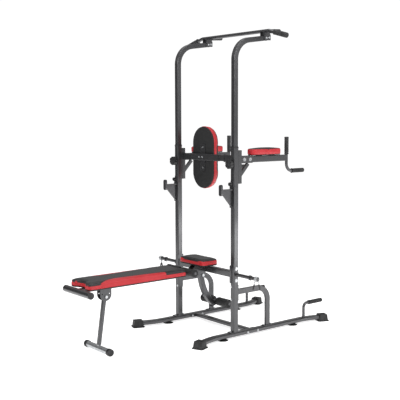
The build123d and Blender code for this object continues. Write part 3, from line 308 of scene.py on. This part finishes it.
def painted_board():
    """Black-sprayed plywood backing board: flat paint with faint grain and pores."""
    material, tree, shader, place = blank_material("black_sprayed_plywood")
    stretched = add_node(tree, "ShaderNodeMapping", {"Vector": place, "Scale": (1.0, 0.08, 0.08)},
                         vector_type="POINT").outputs["Vector"]
    grain = speckle(tree, stretched, 1.5, 4.0)
    colour = blend_colours(tree, grain, linear("#0C0C0D"), linear("#1A1A1B"))
    tree.links.new(colour, shader.inputs["Base Color"])
    tree.links.new(ramp(tree, grain, 0.3, 0.7, 0.55, 0.72), shader.inputs["Roughness"])
    bumps(tree, shader, grain, 0.12, 0.5)
    return material


def finish_node(name, material):
    """Give a carried-over part its finish."""
    slots = NODES[name].data.materials
    if not slots:
        slots.append(material)
    for i in range(len(slots)):
        slots[i] = material


MATERIALS = {}


def finish(key):
    """The finish of that name, made once."""
    if key not in MATERIALS:
        colours = bpy.context.scene.tower_colours
        makers = {
            "lacquer": lambda: metallic_lacquer(colours),
            "leg": lambda: leg_finish(colours),
            "zinc": lambda: plated_steel("zinc_plated_steel", "#C9CBCD", 0.3),
            "spring": lambda: plated_steel("plated_spring_wire", "#B4B6B8", 0.26, 6),
            "plastic": lambda: moulded("moulded_nylon", linear("#18181A"), 0.42, 0.8, 0.06),
            "rubber": lambda: moulded("moulded_rubber", tuple(colours.rubber), 0.62, 1.1, 0.08, 0.2),
            "foam": foam_skin,
            "vinyl": lambda: upholstery_vinyl("embossed_vinyl", colours),
            "board": painted_board,
        }
        MATERIALS[key] = makers[key]()
    return MATERIALS[key]


# ------------------------------------------------------------------ shapes


def new_piece(name, points, faces, body, key, slot, smooth=True):
    """Make a mesh piece in place, with its finish and body. The slot argument is not used."""
    mesh = bpy.data.meshes.new(name)
    mesh.from_pydata([tuple(p) for p in points], [], faces)
    mesh.validate()
    mesh.materials.append(finish(key))
    if smooth:
        mesh.shade_smooth()
    piece = bpy.data.objects.new(name, mesh)
    bpy.context.scene.collection.objects.link(piece)
    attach(piece, body)
    return piece


def across(direction):
    """Two unit vectors square to a direction and to each other."""
    d = Vector(direction).normalized()
    side = d.cross(Vector((0, 0, 1)))
    if side.length < 1e-4:
        side = d.cross(Vector((1, 0, 0)))
    side.normalize()
    return side, d.cross(side).normalized()


def lathe(profile, origin, axis, steps=40):
    """Turn a profile of (distance along the axis, radius) pairs into points and faces, closed at its ends."""
    u, v = across(axis)
    d = Vector(axis).normalized()
    points, faces = [], []
    for along, radius in profile:
        for k in range(steps):
            a = 2 * math.pi * k / steps
            points.append(Vector(origin) + d * along + (u * math.cos(a) + v * math.sin(a)) * radius)
    for i in range(len(profile) - 1):
        for k in range(steps):
            n = (k + 1) % steps
            faces.append((i * steps + k, i * steps + n, (i + 1) * steps + n, (i + 1) * steps + k))
    faces.append(tuple(range(steps))[::-1])
    faces.append(tuple((len(profile) - 1) * steps + k for k in range(steps)))
    return points, faces


def rod(line, radii, steps=10, closed=False):
    """Sweep a circle along a line of points. radii is one radius or one for each point."""
    line = [Vector(p) for p in line]
    count = len(line)
    radii = radii if isinstance(radii, (list, tuple)) else [radii] * count
    points, faces = [], []
    u = None
    for i, p in enumerate(line):
        ahead = line[(i + 1) % count] if closed or i + 1 < count else p
        behind = line[i - 1] if closed or i else p
        d = (ahead - behind).normalized()
        u = across(d)[0] if u is None else (u - d * u.dot(d)).normalized()
        v = d.cross(u)
        for k in range(steps):
            a = 2 * math.pi * k / steps
            points.append(p + (u * math.cos(a) + v * math.sin(a)) * radii[i])
    spans = count if closed else count - 1
    for i in range(spans):
        j = (i + 1) % count
        for k in range(steps):
            n = (k + 1) % steps
            faces.append((i * steps + k, i * steps + n, j * steps + n, j * steps + k))
    if not closed:
        faces.append(tuple(range(steps))[::-1])
        faces.append(tuple((count - 1) * steps + k for k in range(steps)))
    return points, faces


def merge(shapes):
    """Join several (points, faces) shapes into one."""
    points, faces = [], []
    for p, f in shapes:
        start = len(points)
        points += list(p)
        faces += [tuple(i + start for i in face) for face in f]
    return points, faces


def islands(node):
    """The separate solids of a carried-over part, each as an array of its points."""
    bm = bmesh.new()
    bm.from_mesh(NODES[node].data)
    bmesh.ops.remove_doubles(bm, verts=bm.verts, dist=0.01 * MM)
    bm.verts.ensure_lookup_table()
    seen, found = set(), []
    for start in bm.verts:
        if start.index in seen:
            continue
        stack, group = [start], []
        seen.add(start.index)
        while stack:
            vert = stack.pop()
            group.append(tuple(vert.co))
            for edge in vert.link_edges:
                other = edge.other_vert(vert)
                if other.index not in seen:
                    seen.add(other.index)
                    stack.append(other)
        found.append(np.array(group))
    bm.free()
    return found


def main_axis(points, outward):
    """Middle, unit axis, length and radius of a round solid whose outward direction is known."""
    middle = (points.min(0) + points.max(0)) / 2
    spread = np.linalg.eigh(np.cov((points - points.mean(0)).T))
    axis = Vector(spread[1][:, 2])
    if axis.dot(Vector(outward)) < 0:
        axis = -axis
    along = (points - middle) @ np.array(axis)
    off = points - middle - np.outer(along, np.array(axis))
    centre = Vector(middle) + axis * float((along.min() + along.max()) / 2)
    return centre, axis, float(along.max() - along.min()), float(np.linalg.norm(off, axis=1).max())


# ------------------------------------------------------------------ pads


def outline(node, axis, sign):
    """The edge of a flat-backed pad, as 2-D segments in the plane of its back."""
    bm = bmesh.new()
    bm.from_mesh(NODES[node].data)
    bmesh.ops.remove_doubles(bm, verts=bm.verts, dist=0.01 * MM)
    back = min(v.co[axis] * sign for v in bm.verts)
    keep = [i for i in range(3) if i != axis]
    segments = []
    for edge in bm.edges:
        if all(abs(v.co[axis] * sign - back) < 0.05 * MM for v in edge.verts):
            flats = sum(abs(f.normal[axis]) > 0.99 for f in edge.link_faces)
            if flats == 1:
                segments.append([[v.co[i] for i in keep] for v in edge.verts])
    bm.free()
    return np.array(segments)


def inset_of(points, segments):
    """How far inside an outline each 2-D point is; outside is negative."""
    a, b = segments[:, 0], segments[:, 1]
    best = np.full(len(points), 1e9)
    crossings = np.zeros(len(points), int)
    for p, q in zip(a, b):
        d = q - p
        t = np.clip(((points - p) @ d) / max(d @ d, 1e-12), 0, 1)
        best = np.minimum(best, np.linalg.norm(points - p - np.outer(t, d), axis=1))
        spans = (p[1] > points[:, 1]) != (q[1] > points[:, 1])
        rise = q[1] - p[1]
        if abs(rise) > 1e-12:
            crossings += spans & (points[:, 0] < p[0] + (points[:, 1] - p[1]) * d[0] / rise)
    return np.where(crossings % 2 == 1, best, -best)


def foam_shape(node, voxel, cap, axis, sign):
    """Swell a copy of a pad's solid with cloth pressure, its back held flat. Returns a mesh."""
    piece = bpy.data.objects.new(node + "_foam", NODES[node].data.copy())
    bpy.context.scene.collection.objects.link(piece)
    low, high = (np.array(corner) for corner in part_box(node))
    middle = (low + high) / 2
    shrink = 1 - 2 * 0.35 * cap / (high - low)
    shrink[axis] = 1
    for vert in piece.data.vertices:
        moved = middle + (np.array(vert.co) - middle) * shrink
        front = sign * (vert.co[axis] - middle[axis]) > 0
        moved[axis] -= sign * 0.45 * cap if front else 0
        vert.co = moved
    remesh = piece.modifiers.new("Even", "REMESH")
    remesh.mode = "VOXEL"
    remesh.voxel_size = voxel
    soften = piece.modifiers.new("Soften", "SMOOTH")
    soften.iterations = 4
    depsgraph = bpy.context.evaluated_depsgraph_get()
    even = bpy.data.meshes.new_from_object(piece.evaluated_get(depsgraph))
    piece.modifiers.clear()
    piece.data = even
    start = np.array([v.co for v in even.vertices])
    cloth = piece.modifiers.new("Swell", "CLOTH")
    cloth.settings.use_pressure = True
    cloth.settings.uniform_pressure_force = 4
    cloth.settings.tension_stiffness = 25
    cloth.settings.bending_stiffness = 4
    cloth.settings.effector_weights.gravity = 0
    cloth.settings.quality = 4
    scene = bpy.context.scene
    for step in range(1, 21):
        scene.frame_set(step)
    depsgraph = bpy.context.evaluated_depsgraph_get()
    swollen = bpy.data.meshes.new_from_object(piece.evaluated_get(depsgraph))
    end = np.array([v.co for v in swollen.vertices])
    scene.frame_set(1)
    piece.modifiers.clear()
    back = (low if sign > 0 else high)[axis]
    rise = np.clip(np.abs(start[:, axis] - back) / (abs(high[axis] - low[axis]) * 0.6), 0, 1)
    move = end - start
    reach = np.linalg.norm(move, axis=1)
    allowed = cap * rise
    share = np.where(reach > 1e-9, np.minimum(1, allowed / np.maximum(reach, 1e-9)), 0)
    final = start + move * share[:, None]
    for vert, place in zip(even.vertices, final):
        vert.co = place
    smoother = piece.modifiers.new("Finer", "SUBSURF")
    smoother.levels = smoother.render_levels = 1
    depsgraph = bpy.context.evaluated_depsgraph_get()
    mesh = bpy.data.meshes.new_from_object(piece.evaluated_get(depsgraph))
    bpy.data.objects.remove(piece)
    return mesh


def cushion(node, body, axis, sign, voxel, welt_inset, inlay=None):
    """Replace a pad's plain solid with an upholstered one: crowned, two-tone, with a sunk seam."""
    sizes = bpy.context.scene.tower_sizes
    mesh = foam_shape(node, voxel, sizes.pad_rise, axis, sign)
    keep = [i for i in range(3) if i != axis]
    edge = outline(node, axis, sign)
    points = np.array([v.co for v in mesh.vertices])
    normals = np.array([v.normal for v in mesh.vertices])
    flat = points[:, keep]
    inset = inset_of(flat, edge)
    low, high = (np.array(corner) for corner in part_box(node))
    thickness = high[axis] - low[axis]
    height = (points[:, axis] - low[axis]) * sign if sign > 0 else high[axis] - points[:, axis]
    tone = (inset - welt_inset) / MM
    if inlay is not None:
        share = (flat[:, 1] - low[keep[1]]) / (high[keep[1]] - low[keep[1]])
        width = inlay(share)
        from_side = np.minimum(flat[:, 0] - low[keep[0]], high[keep[0]] - flat[:, 0])
        tone = np.minimum(tone, (from_side - width - welt_inset) / MM)
    tone = np.where(height > 0.55 * thickness, tone, -10.0)
    sink = sizes.seam_depth * np.exp(-(tone / 1.8) ** 2)
    points = points - normals * sink[:, None]
    for vert, place in zip(mesh.vertices, points):
        vert.co = place
    layer = mesh.attributes.new("tone", "FLOAT", "POINT")
    layer.data.foreach_set("value", tone.astype(np.float32))
    mesh.materials.clear()
    mesh.materials.append(finish("vinyl"))
    mesh.shade_smooth()
    piece = bpy.data.objects.new(node + "_cover", mesh)
    bpy.context.scene.collection.objects.link(piece)
    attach(piece, body)
    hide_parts(node)
    return piece


def wave_inlay(share):
    """Width of the bench's inlay at a share of its length from the head end."""
    widest = bpy.context.scene.tower_sizes.inlay_width
    grow = np.clip((share - 0.08) / 0.2, 0, 1)
    grow = grow * grow * (3 - 2 * grow)
    fade = np.clip((share - 0.35) / 0.42, 0, 1)
    width = widest * grow * (1 - 0.55 * fade)
    return np.where(share > 0.775, 0.0, width)


class TOWER_OT_bench_cushion(bpy.types.Operator):
    """Upholster the long bench, with its wave-shaped inlays."""

    bl_idname = "tower.bench_cushion"
    bl_label = "Bench Cushion"

    def execute(self, context):
        cushion("bench_pad", "bench", 2, 1, 5.5 * MM, 5 * MM, wave_inlay)
        return {"FINISHED"}


class TOWER_OT_seat_cushion(bpy.types.Operator):
    """Upholster the small seat between the uprights."""

    bl_idname = "tower.seat_cushion"
    bl_label = "Seat Cushion"

    def execute(self, context):
        cushion("seat_pad", "frame", 2, 1, 4.5 * MM, 7 * MM)
        return {"FINISHED"}


class TOWER_OT_arm_cushions(bpy.types.Operator):
    """Upholster the two arm rests of the dip station."""

    bl_idname = "tower.arm_cushions"
    bl_label = "Arm Cushions"

    def execute(self, context):
        for side in ("left", "right"):
            cushion(f"{side}_arm_pad", "frame", 2, 1, 4.5 * MM, 7 * MM)
        return {"FINISHED"}


class TOWER_OT_back_cushion(bpy.types.Operator):
    """Upholster the back rest, whose face looks towards the dip handles."""

    bl_idname = "tower.back_cushion"
    bl_label = "Back Cushion"

    def execute(self, context):
        cushion("back_pad", "frame", 1, 1, 5.5 * MM, 9 * MM)
        return {"FINISHED"}


# ------------------------------------------------------------------ rubber and foam


def ribbed_sleeve(length, radius, pitch):
    """Profile of a hand grip: inner flange, rounded ribs and a domed end."""
    profile = [(0, radius * 0.8), (0.3 * MM, radius + 1.2 * MM), (3.2 * MM, radius + 1.2 * MM),
               (4.5 * MM, radius - 0.6 * MM)]
    ribs = int((length - 16 * MM) / pitch)
    start = (length - 6 * MM - ribs * pitch)
    for i in range(ribs):
        base = start + i * pitch - pitch * 0.5
        for share, depth in ((0.0, -1.3), (0.2, -1.3), (0.35, -0.25), (0.5, 0.0), (0.75, 0.0), (0.9, -0.25)):
            profile.append((base + share * pitch, radius + depth * MM))
    profile += [(length - 7 * MM, radius - 0.2 * MM), (length - 3 * MM, radius - 0.2 * MM),
                (length - 1.2 * MM, radius - 1.2 * MM), (length - 0.3 * MM, radius - 3.4 * MM),
                (length, radius - 6 * MM), (length, 2.4 * MM), (length - 1 * MM, 1.8 * MM)]
    return sorted(profile[:-2], key=lambda pair: pair[0]) + profile[-2:]


def outward_of(points):
    """The direction in which a grip's closed end points."""
    spread = points.max(0) - points.min(0)
    longest = int(spread.argmax())
    if longest == 0:
        return (math.copysign(1, points[:, 0].mean()), 0, 0)
    return (0, 1, 0) if longest == 1 else (0, 0, 1)


class TOWER_OT_hand_grips(bpy.types.Operator):
    """Mould the ribbed rubber sleeves on all the handles."""

    bl_idname = "tower.hand_grips"
    bl_label = "Hand Grips"

    def execute(self, context):
        pitch = context.scene.tower_sizes.rib_pitch
        for node, body in (("handle_grips", "frame"), ("pull_up_grips", "upper_frame")):
            shapes = []
            for points in islands(node):
                centre, axis, length, radius = main_axis(points, outward_of(points))
                shapes.append(lathe(ribbed_sleeve(length, radius, pitch), centre - axis * length / 2, axis))
            piece = new_piece(node + "_ribbed", *merge(shapes), body, "rubber", "grip_rubber")
            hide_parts(node)
        return {"FINISHED"}


class TOWER_OT_foam_rollers(bpy.types.Operator):
    """Shape the foam sleeves that hold the legs."""

    bl_idname = "tower.foam_rollers"
    bl_label = "Foam Rollers"

    def execute(self, context):
        for side in ("left", "right"):
            for joint in ("knee", "ankle"):
                self.sleeve(side, joint)
        return {"FINISHED"}

    def sleeve(self, side, joint):
        """One sleeve with rounded ends and slight waists."""
        node = f"{side}_{joint}_roller"
        low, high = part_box(node)
        radius = (high.z - low.z) / 2
        length = high.x - low.x
        outer = 1 if side == "right" else -1
        centre = (low + high) / 2
        rounding = 7 * MM
        profile = [(0, radius - rounding - 3 * MM)]
        for k in range(7):
            a = math.radians(15 * k)
            profile.append((rounding * (1 - math.cos(a)), radius - rounding * (1 - math.sin(a))))
        for share in (0.3, 0.5, 0.7):
            waist = 0.8 * MM * math.sin(math.pi * share * 2) ** 2
            profile.append((length * share, radius - waist))
        for k in range(6, -1, -1):
            a = math.radians(15 * k)
            profile.append((length - rounding * (1 - math.cos(a)), radius - rounding * (1 - math.sin(a))))
        profile.append((length, radius - rounding - 3 * MM))
        start = Vector((low.x if outer > 0 else high.x, centre.y, centre.z))
        piece = new_piece(node + "_foam", *lathe(profile, start, (outer, 0, 0), 56), node, "foam", "foam")
        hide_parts(node)


# ------------------------------------------------------------------ steel details


def bead(path, thickness, closed=True):
    """A weld bead along a path: close overlapping ripples."""
    line = []
    count = len(path)
    for i in range(count if closed else count - 1):
        a, b = Vector(path[i]), Vector(path[(i + 1) % count])
        steps = max(2, int((b - a).length / (1.6 * MM)))
        line += [a.lerp(b, k / steps) for k in range(steps)]
    radii = [thickness / 2 * (0.86 + 0.2 * math.sin(i * 1.9)) for i in range(len(line))]
    return rod(line, radii, 8, closed)


def ring_path(centre, axis, radius, steps=36):
    """Points of a circle about an axis."""
    u, v = across(axis)
    angles = [2 * math.pi * k / steps for k in range(steps)]
    return [Vector(centre) + (u * math.cos(a) + v * math.sin(a)) * radius for a in angles]


def frame_path(centre, first, second, half_first, half_second, corner):
    """Points of a rounded rectangle in the plane of two unit vectors."""
    path = []
    for quarter, (a, b) in enumerate(((1, 1), (-1, 1), (-1, -1), (1, -1))):
        for k in range(5):
            turn = math.radians(90 * quarter + 22.5 * k)
            path.append(Vector(centre) + Vector(first) * (a * (half_first - corner) + math.cos(turn) * corner)
                        + Vector(second) * (b * (half_second - corner) + math.sin(turn) * corner))
    return path


class TOWER_OT_weld_beads(bpy.types.Operator):
    """Lay the weld beads where tubes and plates meet."""

    bl_idname = "tower.weld_beads"
    bl_label = "Weld Beads"

    def execute(self, context):
        size = context.scene.tower_sizes.weld_size
        x, y, z = Vector((1, 0, 0)), Vector((0, 1, 0)), Vector((0, 0, 1))
        on_frame = []
        for side in ("left", "right"):
            low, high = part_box(f"{side}_lower_upright")
            half = 20 * MM
            middle = (low + high) / 2
            foot = Vector((middle.x, middle.y, low.z + 4 * MM))
            on_frame.append(bead(frame_path(foot, x, y, half, half, 5 * MM), size))
            low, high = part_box(f"{side}_rear_arch")
            middle = (low + high) / 2
            leg = Vector((middle.x, high.y - 43 * MM, low.z + 4 * MM))
            on_frame.append(bead(frame_path(leg, x, y, 10 * MM, 20 * MM, 4 * MM), size))
            root = Vector((middle.x, low.y + 5 * MM, high.z - 26 * MM))
            on_frame.append(bead(frame_path(root, x, z, 10 * MM, 20 * MM, 4 * MM), size))
        low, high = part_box("seat_crossbar")
        middle = (low + high) / 2
        for sign in (-1, 1):
            end = Vector((sign * (high.x - 20 * MM - 0.5 * MM), middle.y, middle.z))
            on_frame.append(bead(frame_path(end, y, z, 20 * MM, 22.5 * MM, 5 * MM), size))
        for points in islands("push_up_handles"):
            low = points.min(0)
            base = points[points[:, 2] < low[2] + 1 * MM]
            centre = Vector((base.min(0) + base.max(0)) / 2)
            on_frame.append(bead(ring_path(centre, z, 11.2 * MM), size))
        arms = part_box("dip_arms")
        for points in islands("dip_handles"):
            x_mid = float((points[:, 0].min() + points[:, 0].max()) / 2)
            face_y = arms[1].y - 1 * MM
            z_mid = (arms[0].z + arms[1].z) / 2
            path = frame_path((x_mid, face_y, z_mid), x, z, 11 * MM, 21 * MM, 4 * MM)
            on_frame.append(bead(path, size))
        new_piece("frame_weld_beads", *merge(on_frame), "frame", "lacquer", "frame_paint")
        return {"FINISHED"}


def plug(centre, first, second, half_first, half_second, tall, corner=4 * MM):
    """A low domed plug in the open end of a tube."""
    up = Vector(first).cross(Vector(second)).normalized()
    rings = []
    for rise, inset in ((-2 * MM, 0.9 * MM), (0.2 * MM, 0.9 * MM), (0.3 * MM, 0.0), (tall * 0.6, 0.0),
                        (tall, 1.6 * MM)):
        rings.append(frame_path(Vector(centre) + up * rise, first, second, half_first - inset,
                                half_second - inset, max(corner - inset, 0.5 * MM)))
    count = len(rings[0])
    points = [p for ring in rings for p in ring]
    faces = []
    for i in range(len(rings) - 1):
        for k in range(count):
            n = (k + 1) % count
            faces.append((i * count + k, i * count + n, (i + 1) * count + n, (i + 1) * count + k))
    faces.append(tuple(range(count))[::-1])
    faces.append(tuple((len(rings) - 1) * count + k for k in range(count)))
    return points, faces


class TOWER_OT_tube_plugs(bpy.types.Operator):
    """Close the open tube ends with black plugs."""

    bl_idname = "tower.tube_plugs"
    bl_label = "Tube Plugs"

    def execute(self, context):
        x, y = Vector((1, 0, 0)), Vector((0, 1, 0))
        half = 17 * MM
        rim = 2.5 * MM
        shapes = []
        for side in ("left", "right"):
            low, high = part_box(f"{side}_dip_bracket")
            middle = (low.x + high.x) / 2
            shapes.append(plug((middle, low.y + half, high.z), x, y, half, half, rim))
            shapes.append(plug((middle, low.y + half, low.z), y, x, half, half, rim))
        new_piece("carriage_plugs", *merge(shapes), "frame", "plastic", "black_plastic")
        return {"FINISHED"}


class TOWER_OT_spring_clips(bpy.types.Operator):
    """Wind the spring clips on the plate pins, with sleeves on their arms."""

    bl_idname = "tower.spring_clips"
    bl_label = "Spring Clips"

    def execute(self, context):
        for side, sign in (("left", -1), ("right", 1)):
            self.clip(side, sign)
        return {"FINISHED"}

    def clip(self, side, sign):
        """One clip: a coil of square-wound wire and two arms."""
        node = f"{side}_spring_clip"
        low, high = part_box(node)
        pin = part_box("weight_bars")
        centre_y = (pin[0].y + pin[1].y) / 2
        centre_z = (pin[0].z + pin[1].z) / 2
        wire = 5.2 * MM
        bore = 12.9 * MM
        coil = bore + wire / 2
        turns = 5
        straight = 8 * MM
        start = low.x if sign > 0 else high.x
        line = []
        arm_reach = centre_z - low.z - 3 * MM
        lean = math.radians(16)
        first_turn = -math.pi / 2 - lean
        last_turn = -math.pi / 2 + lean + 2 * math.pi * turns
        steps = 150
        first = Vector((start + sign * wire * 0.6, centre_y, centre_z))
        for k in range(steps + 1):
            a = first_turn + (last_turn - first_turn) * k / steps
            across_pin = first.x + sign * (wire * 1.02) * (turns - 0.4) * k / steps
            line.append(Vector((across_pin, centre_y + math.cos(a) * coil, centre_z + math.sin(a) * coil)))
        head, tail = line[0], line[-1]
        out_head = (head - Vector((head.x, centre_y, centre_z))).normalized()
        out_tail = (tail - Vector((tail.x, centre_y, centre_z))).normalized()
        full = [head + out_head * (arm_reach - coil), head + out_head * straight, *line,
                tail + out_tail * straight, tail + out_tail * (arm_reach - coil)]
        piece = new_piece(node + "_wire", *rod(full, wire / 2, 12), f"{side}_clip", "spring", "spring_steel")
        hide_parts(node)
        sleeves = []
        for root, way in ((head, out_head), (tail, out_tail)):
            near, far = root + way * (arm_reach - coil) * 0.36, root + way * (arm_reach - coil)
            sleeves.append(rod([near, near.lerp(far, 0.04), near.lerp(far, 0.96), far],
                               [4 * MM, 5.2 * MM, 5.2 * MM, 4 * MM], 20))
        new_piece(node + "_sleeves", *merge(sleeves), f"{side}_clip", "plastic", "black_plastic")


# ------------------------------------------------------------------ finishes of the steel and hardware

FINISHES = {
    "zinc": ("back_screws", "bar_clamp_bolts", "bench_pivot_pins", "dip_arm_bolts", "frame_bolts",
             "leg_pivot_bolt"),
    "plastic": ("left_height_knob", "right_height_knob", "left_hook_knob", "right_hook_knob",
                "bench_caps", "upright_collars"),
    "rubber": ("rail_end_boots", "leg_foot_caps", "suction_cups", "handle_grips", "pull_up_grips"),
    "board": ("arm_pad_boards", "back_board", "bench_board", "seat_board"),
    "foam": ("left_knee_roller", "right_knee_roller", "left_ankle_roller", "right_ankle_roller"),
    "vinyl": ("bench_pad", "seat_pad", "left_arm_pad", "right_arm_pad", "back_pad"),
    "spring": ("left_spring_clip", "right_spring_clip"),
    "leg": ("bench_leg",),
}


class TOWER_OT_finishes(bpy.types.Operator):
    """Lacquer the steel, plate the bolts and give the mouldings their grain."""

    bl_idname = "tower.finishes"
    bl_label = "Finishes"

    def execute(self, context):
        for name in NODES:
            key = next((k for k, names in FINISHES.items() if name in names), "lacquer")
            finish_node(name, finish(key))
        return {"FINISHED"}


# ------------------------------------------------------------------ stage

FLOOR_SIDE = 60         # metres, wide enough to fill every view
FLOOR_GAP = 0.2 * MM    # below the feet, so that the two don't flicker
PAPER_GLOW = 0.7        # keeps the floor white where little light falls
WORLD_LIGHT = 0.36      # light that the surroundings give
WORLD_SEEN = 1.05       # how bright the surroundings look to the camera

CAMERA_LENS = 72.18     # millimetres, on a 36 mm sensor
CAMERA_SIDE = 4.4883    # metres to the side, along X
CAMERA_BACK = 3.5649    # metres towards the bench end, along Y
CAMERA_HEIGHT = 1.5309
CAMERA_DOWN = 5.69      # degrees
CAMERA_ROLL = 0.16
CAMERA_TURN = 51.19


def panel(name, centre, target, width, height, material):
    """A flat studio panel that faces a target."""
    half_w, half_h = width / 2, height / 2
    mesh = bpy.data.meshes.new(name)
    mesh.from_pydata([(-half_w, -half_h, 0), (half_w, -half_h, 0), (half_w, half_h, 0), (-half_w, half_h, 0)],
                     [], [(0, 1, 2, 3)])
    mesh.materials.append(material)
    board = bpy.data.objects.new(name, mesh)
    board.location = centre
    board.rotation_euler = (Vector(target) - Vector(centre)).to_track_quat("Z", "Y").to_euler()
    bpy.context.scene.collection.objects.link(board)
    return board


def softbox(name, centre, target, width, height, power):
    """An area light that faces a target."""
    light = bpy.data.lights.new(name, "AREA")
    light.shape = "RECTANGLE"
    light.size = width
    light.size_y = height
    light.energy = power
    lamp = bpy.data.objects.new(name, light)
    lamp.location = centre
    lamp.rotation_euler = (Vector(target) - Vector(centre)).to_track_quat("-Z", "Y").to_euler()
    bpy.context.scene.collection.objects.link(lamp)
    return lamp


class TOWER_OT_stage(bpy.types.Operator):
    """Set the pale floor, the studio lights and the camera."""

    bl_idname = "tower.stage"
    bl_label = "Stage"

    def execute(self, context):
        scene = context.scene
        low, high = (Vector(corner) for corner in cad_box)
        middle = (low + high) / 2
        paper, tree, shader, place = blank_material("matt_white_paper")
        fibre = speckle(tree, place, 3, 2.0)
        white = blend_colours(tree, fibre, linear("#F4F4F4"), linear("#FCFCFC"))
        tree.links.new(white, shader.inputs["Base Color"])
        shader.inputs["Roughness"].default_value = 0.95
        shader.inputs["Specular IOR Level"].default_value = 0.1
        shader.inputs["Emission Color"].default_value = (1, 1, 1, 1)
        shader.inputs["Emission Strength"].default_value = PAPER_GLOW
        floor = panel("floor", (0, 0, -FLOOR_GAP), (0, 0, 1), FLOOR_SIDE, FLOOR_SIDE, paper)
        floor.rotation_euler = (0, 0, 0)
        flag_cloth, tree, shader, place = blank_material("black_flag_cloth")
        weave = speckle(tree, place, 2, 1.0)
        black = blend_colours(tree, weave, linear("#3A3A3A"), linear("#444444"))
        tree.links.new(black, shader.inputs["Base Color"])
        shader.inputs["Roughness"].default_value = 1.0
        flag = panel("dark_flag", (-3.4, -3.0, 1.3), (0, 0, 1.1), 3.6, 3.2, flag_cloth)
        flag.visible_camera = False
        flag.visible_diffuse = False
        flag.visible_shadow = False
        softbox("side_softbox", (3.4, 1.2, 2.6), (0, 0, 0.9), 1.4, 1.4, 45)
        softbox("key_softbox", (0.6, -3.6, 3.2), middle, 1.6, 1.4, 70)
        softbox("top_softbox", (0, 0, 4.6), (0, 0, 0), 3.0, 3.0, 60)
        # stands low, where the uprights' outer faces mirror it towards the camera
        softbox("low_softbox", (2.57, 2.15, 0.22), (0, 0.09, 0.4), 1.0, 0.4, 6)
        world = bpy.data.worlds.new("studio")
        scene.world = world
        world.use_nodes = True
        seen = add_node(world.node_tree, "ShaderNodeLightPath").outputs["Is Camera Ray"]
        background = next(n for n in world.node_tree.nodes if n.type == "BACKGROUND")
        background.inputs["Color"].default_value = (1, 1, 1, 1)
        strength = ramp(world.node_tree, seen, 0, 1, WORLD_LIGHT, WORLD_SEEN)
        world.node_tree.links.new(strength, background.inputs["Strength"])
        scene.view_settings.view_transform = "Standard"
        camera = bpy.data.cameras.new("camera")
        camera.sensor_width = 36
        camera.lens = CAMERA_LENS
        camera.clip_end = 100
        eye = bpy.data.objects.new("camera", camera)
        eye.location = (CAMERA_SIDE, middle.y - CAMERA_BACK, CAMERA_HEIGHT)
        eye.rotation_euler = (math.radians(90 - CAMERA_DOWN), math.radians(CAMERA_ROLL),
                              math.radians(CAMERA_TURN))
        scene.collection.objects.link(eye)
        scene.camera = eye
        return {"FINISHED"}


class TOWER_PT_panel(bpy.types.Panel):
    """Lists the pieces that can be built."""

    bl_idname = "TOWER_PT_panel"
    bl_label = "Power Tower"
    bl_space_type = "VIEW_3D"
    bl_region_type = "UI"
    bl_category = "Power Tower"

    def draw(self, context):
        for group in (context.scene.tower_colours, context.scene.tower_sizes):
            for key in group.__annotations__:
                self.layout.prop(group, key)
        for operator in OPERATORS:
            self.layout.operator(operator.bl_idname)


OPERATORS = (
    TOWER_OT_stage, TOWER_OT_finishes, TOWER_OT_bench_cushion, TOWER_OT_seat_cushion,
    TOWER_OT_arm_cushions, TOWER_OT_back_cushion, TOWER_OT_hand_grips, TOWER_OT_foam_rollers,
    TOWER_OT_weld_beads, TOWER_OT_tube_plugs, TOWER_OT_spring_clips,
)
CLASSES = (TowerColours, TowerSizes, *OPERATORS, TOWER_PT_panel)


def register():
    """Add the settings, operators and panel."""
    for cls in CLASSES:
        bpy.utils.register_class(cls)
    bpy.types.Scene.tower_colours = bpy.props.PointerProperty(type=TowerColours)
    bpy.types.Scene.tower_sizes = bpy.props.PointerProperty(type=TowerSizes)


def unregister():
    """Remove the settings, operators and panel."""
    del bpy.types.Scene.tower_sizes
    del bpy.types.Scene.tower_colours
    for cls in reversed(CLASSES):
        bpy.utils.unregister_class(cls)


def main():
    """Build every piece in order."""
    register()
    for operator in OPERATORS:
        group, name = operator.bl_idname.split(".")
        getattr(getattr(bpy.ops, group), name)()


if __name__ == "__main__":
    main()
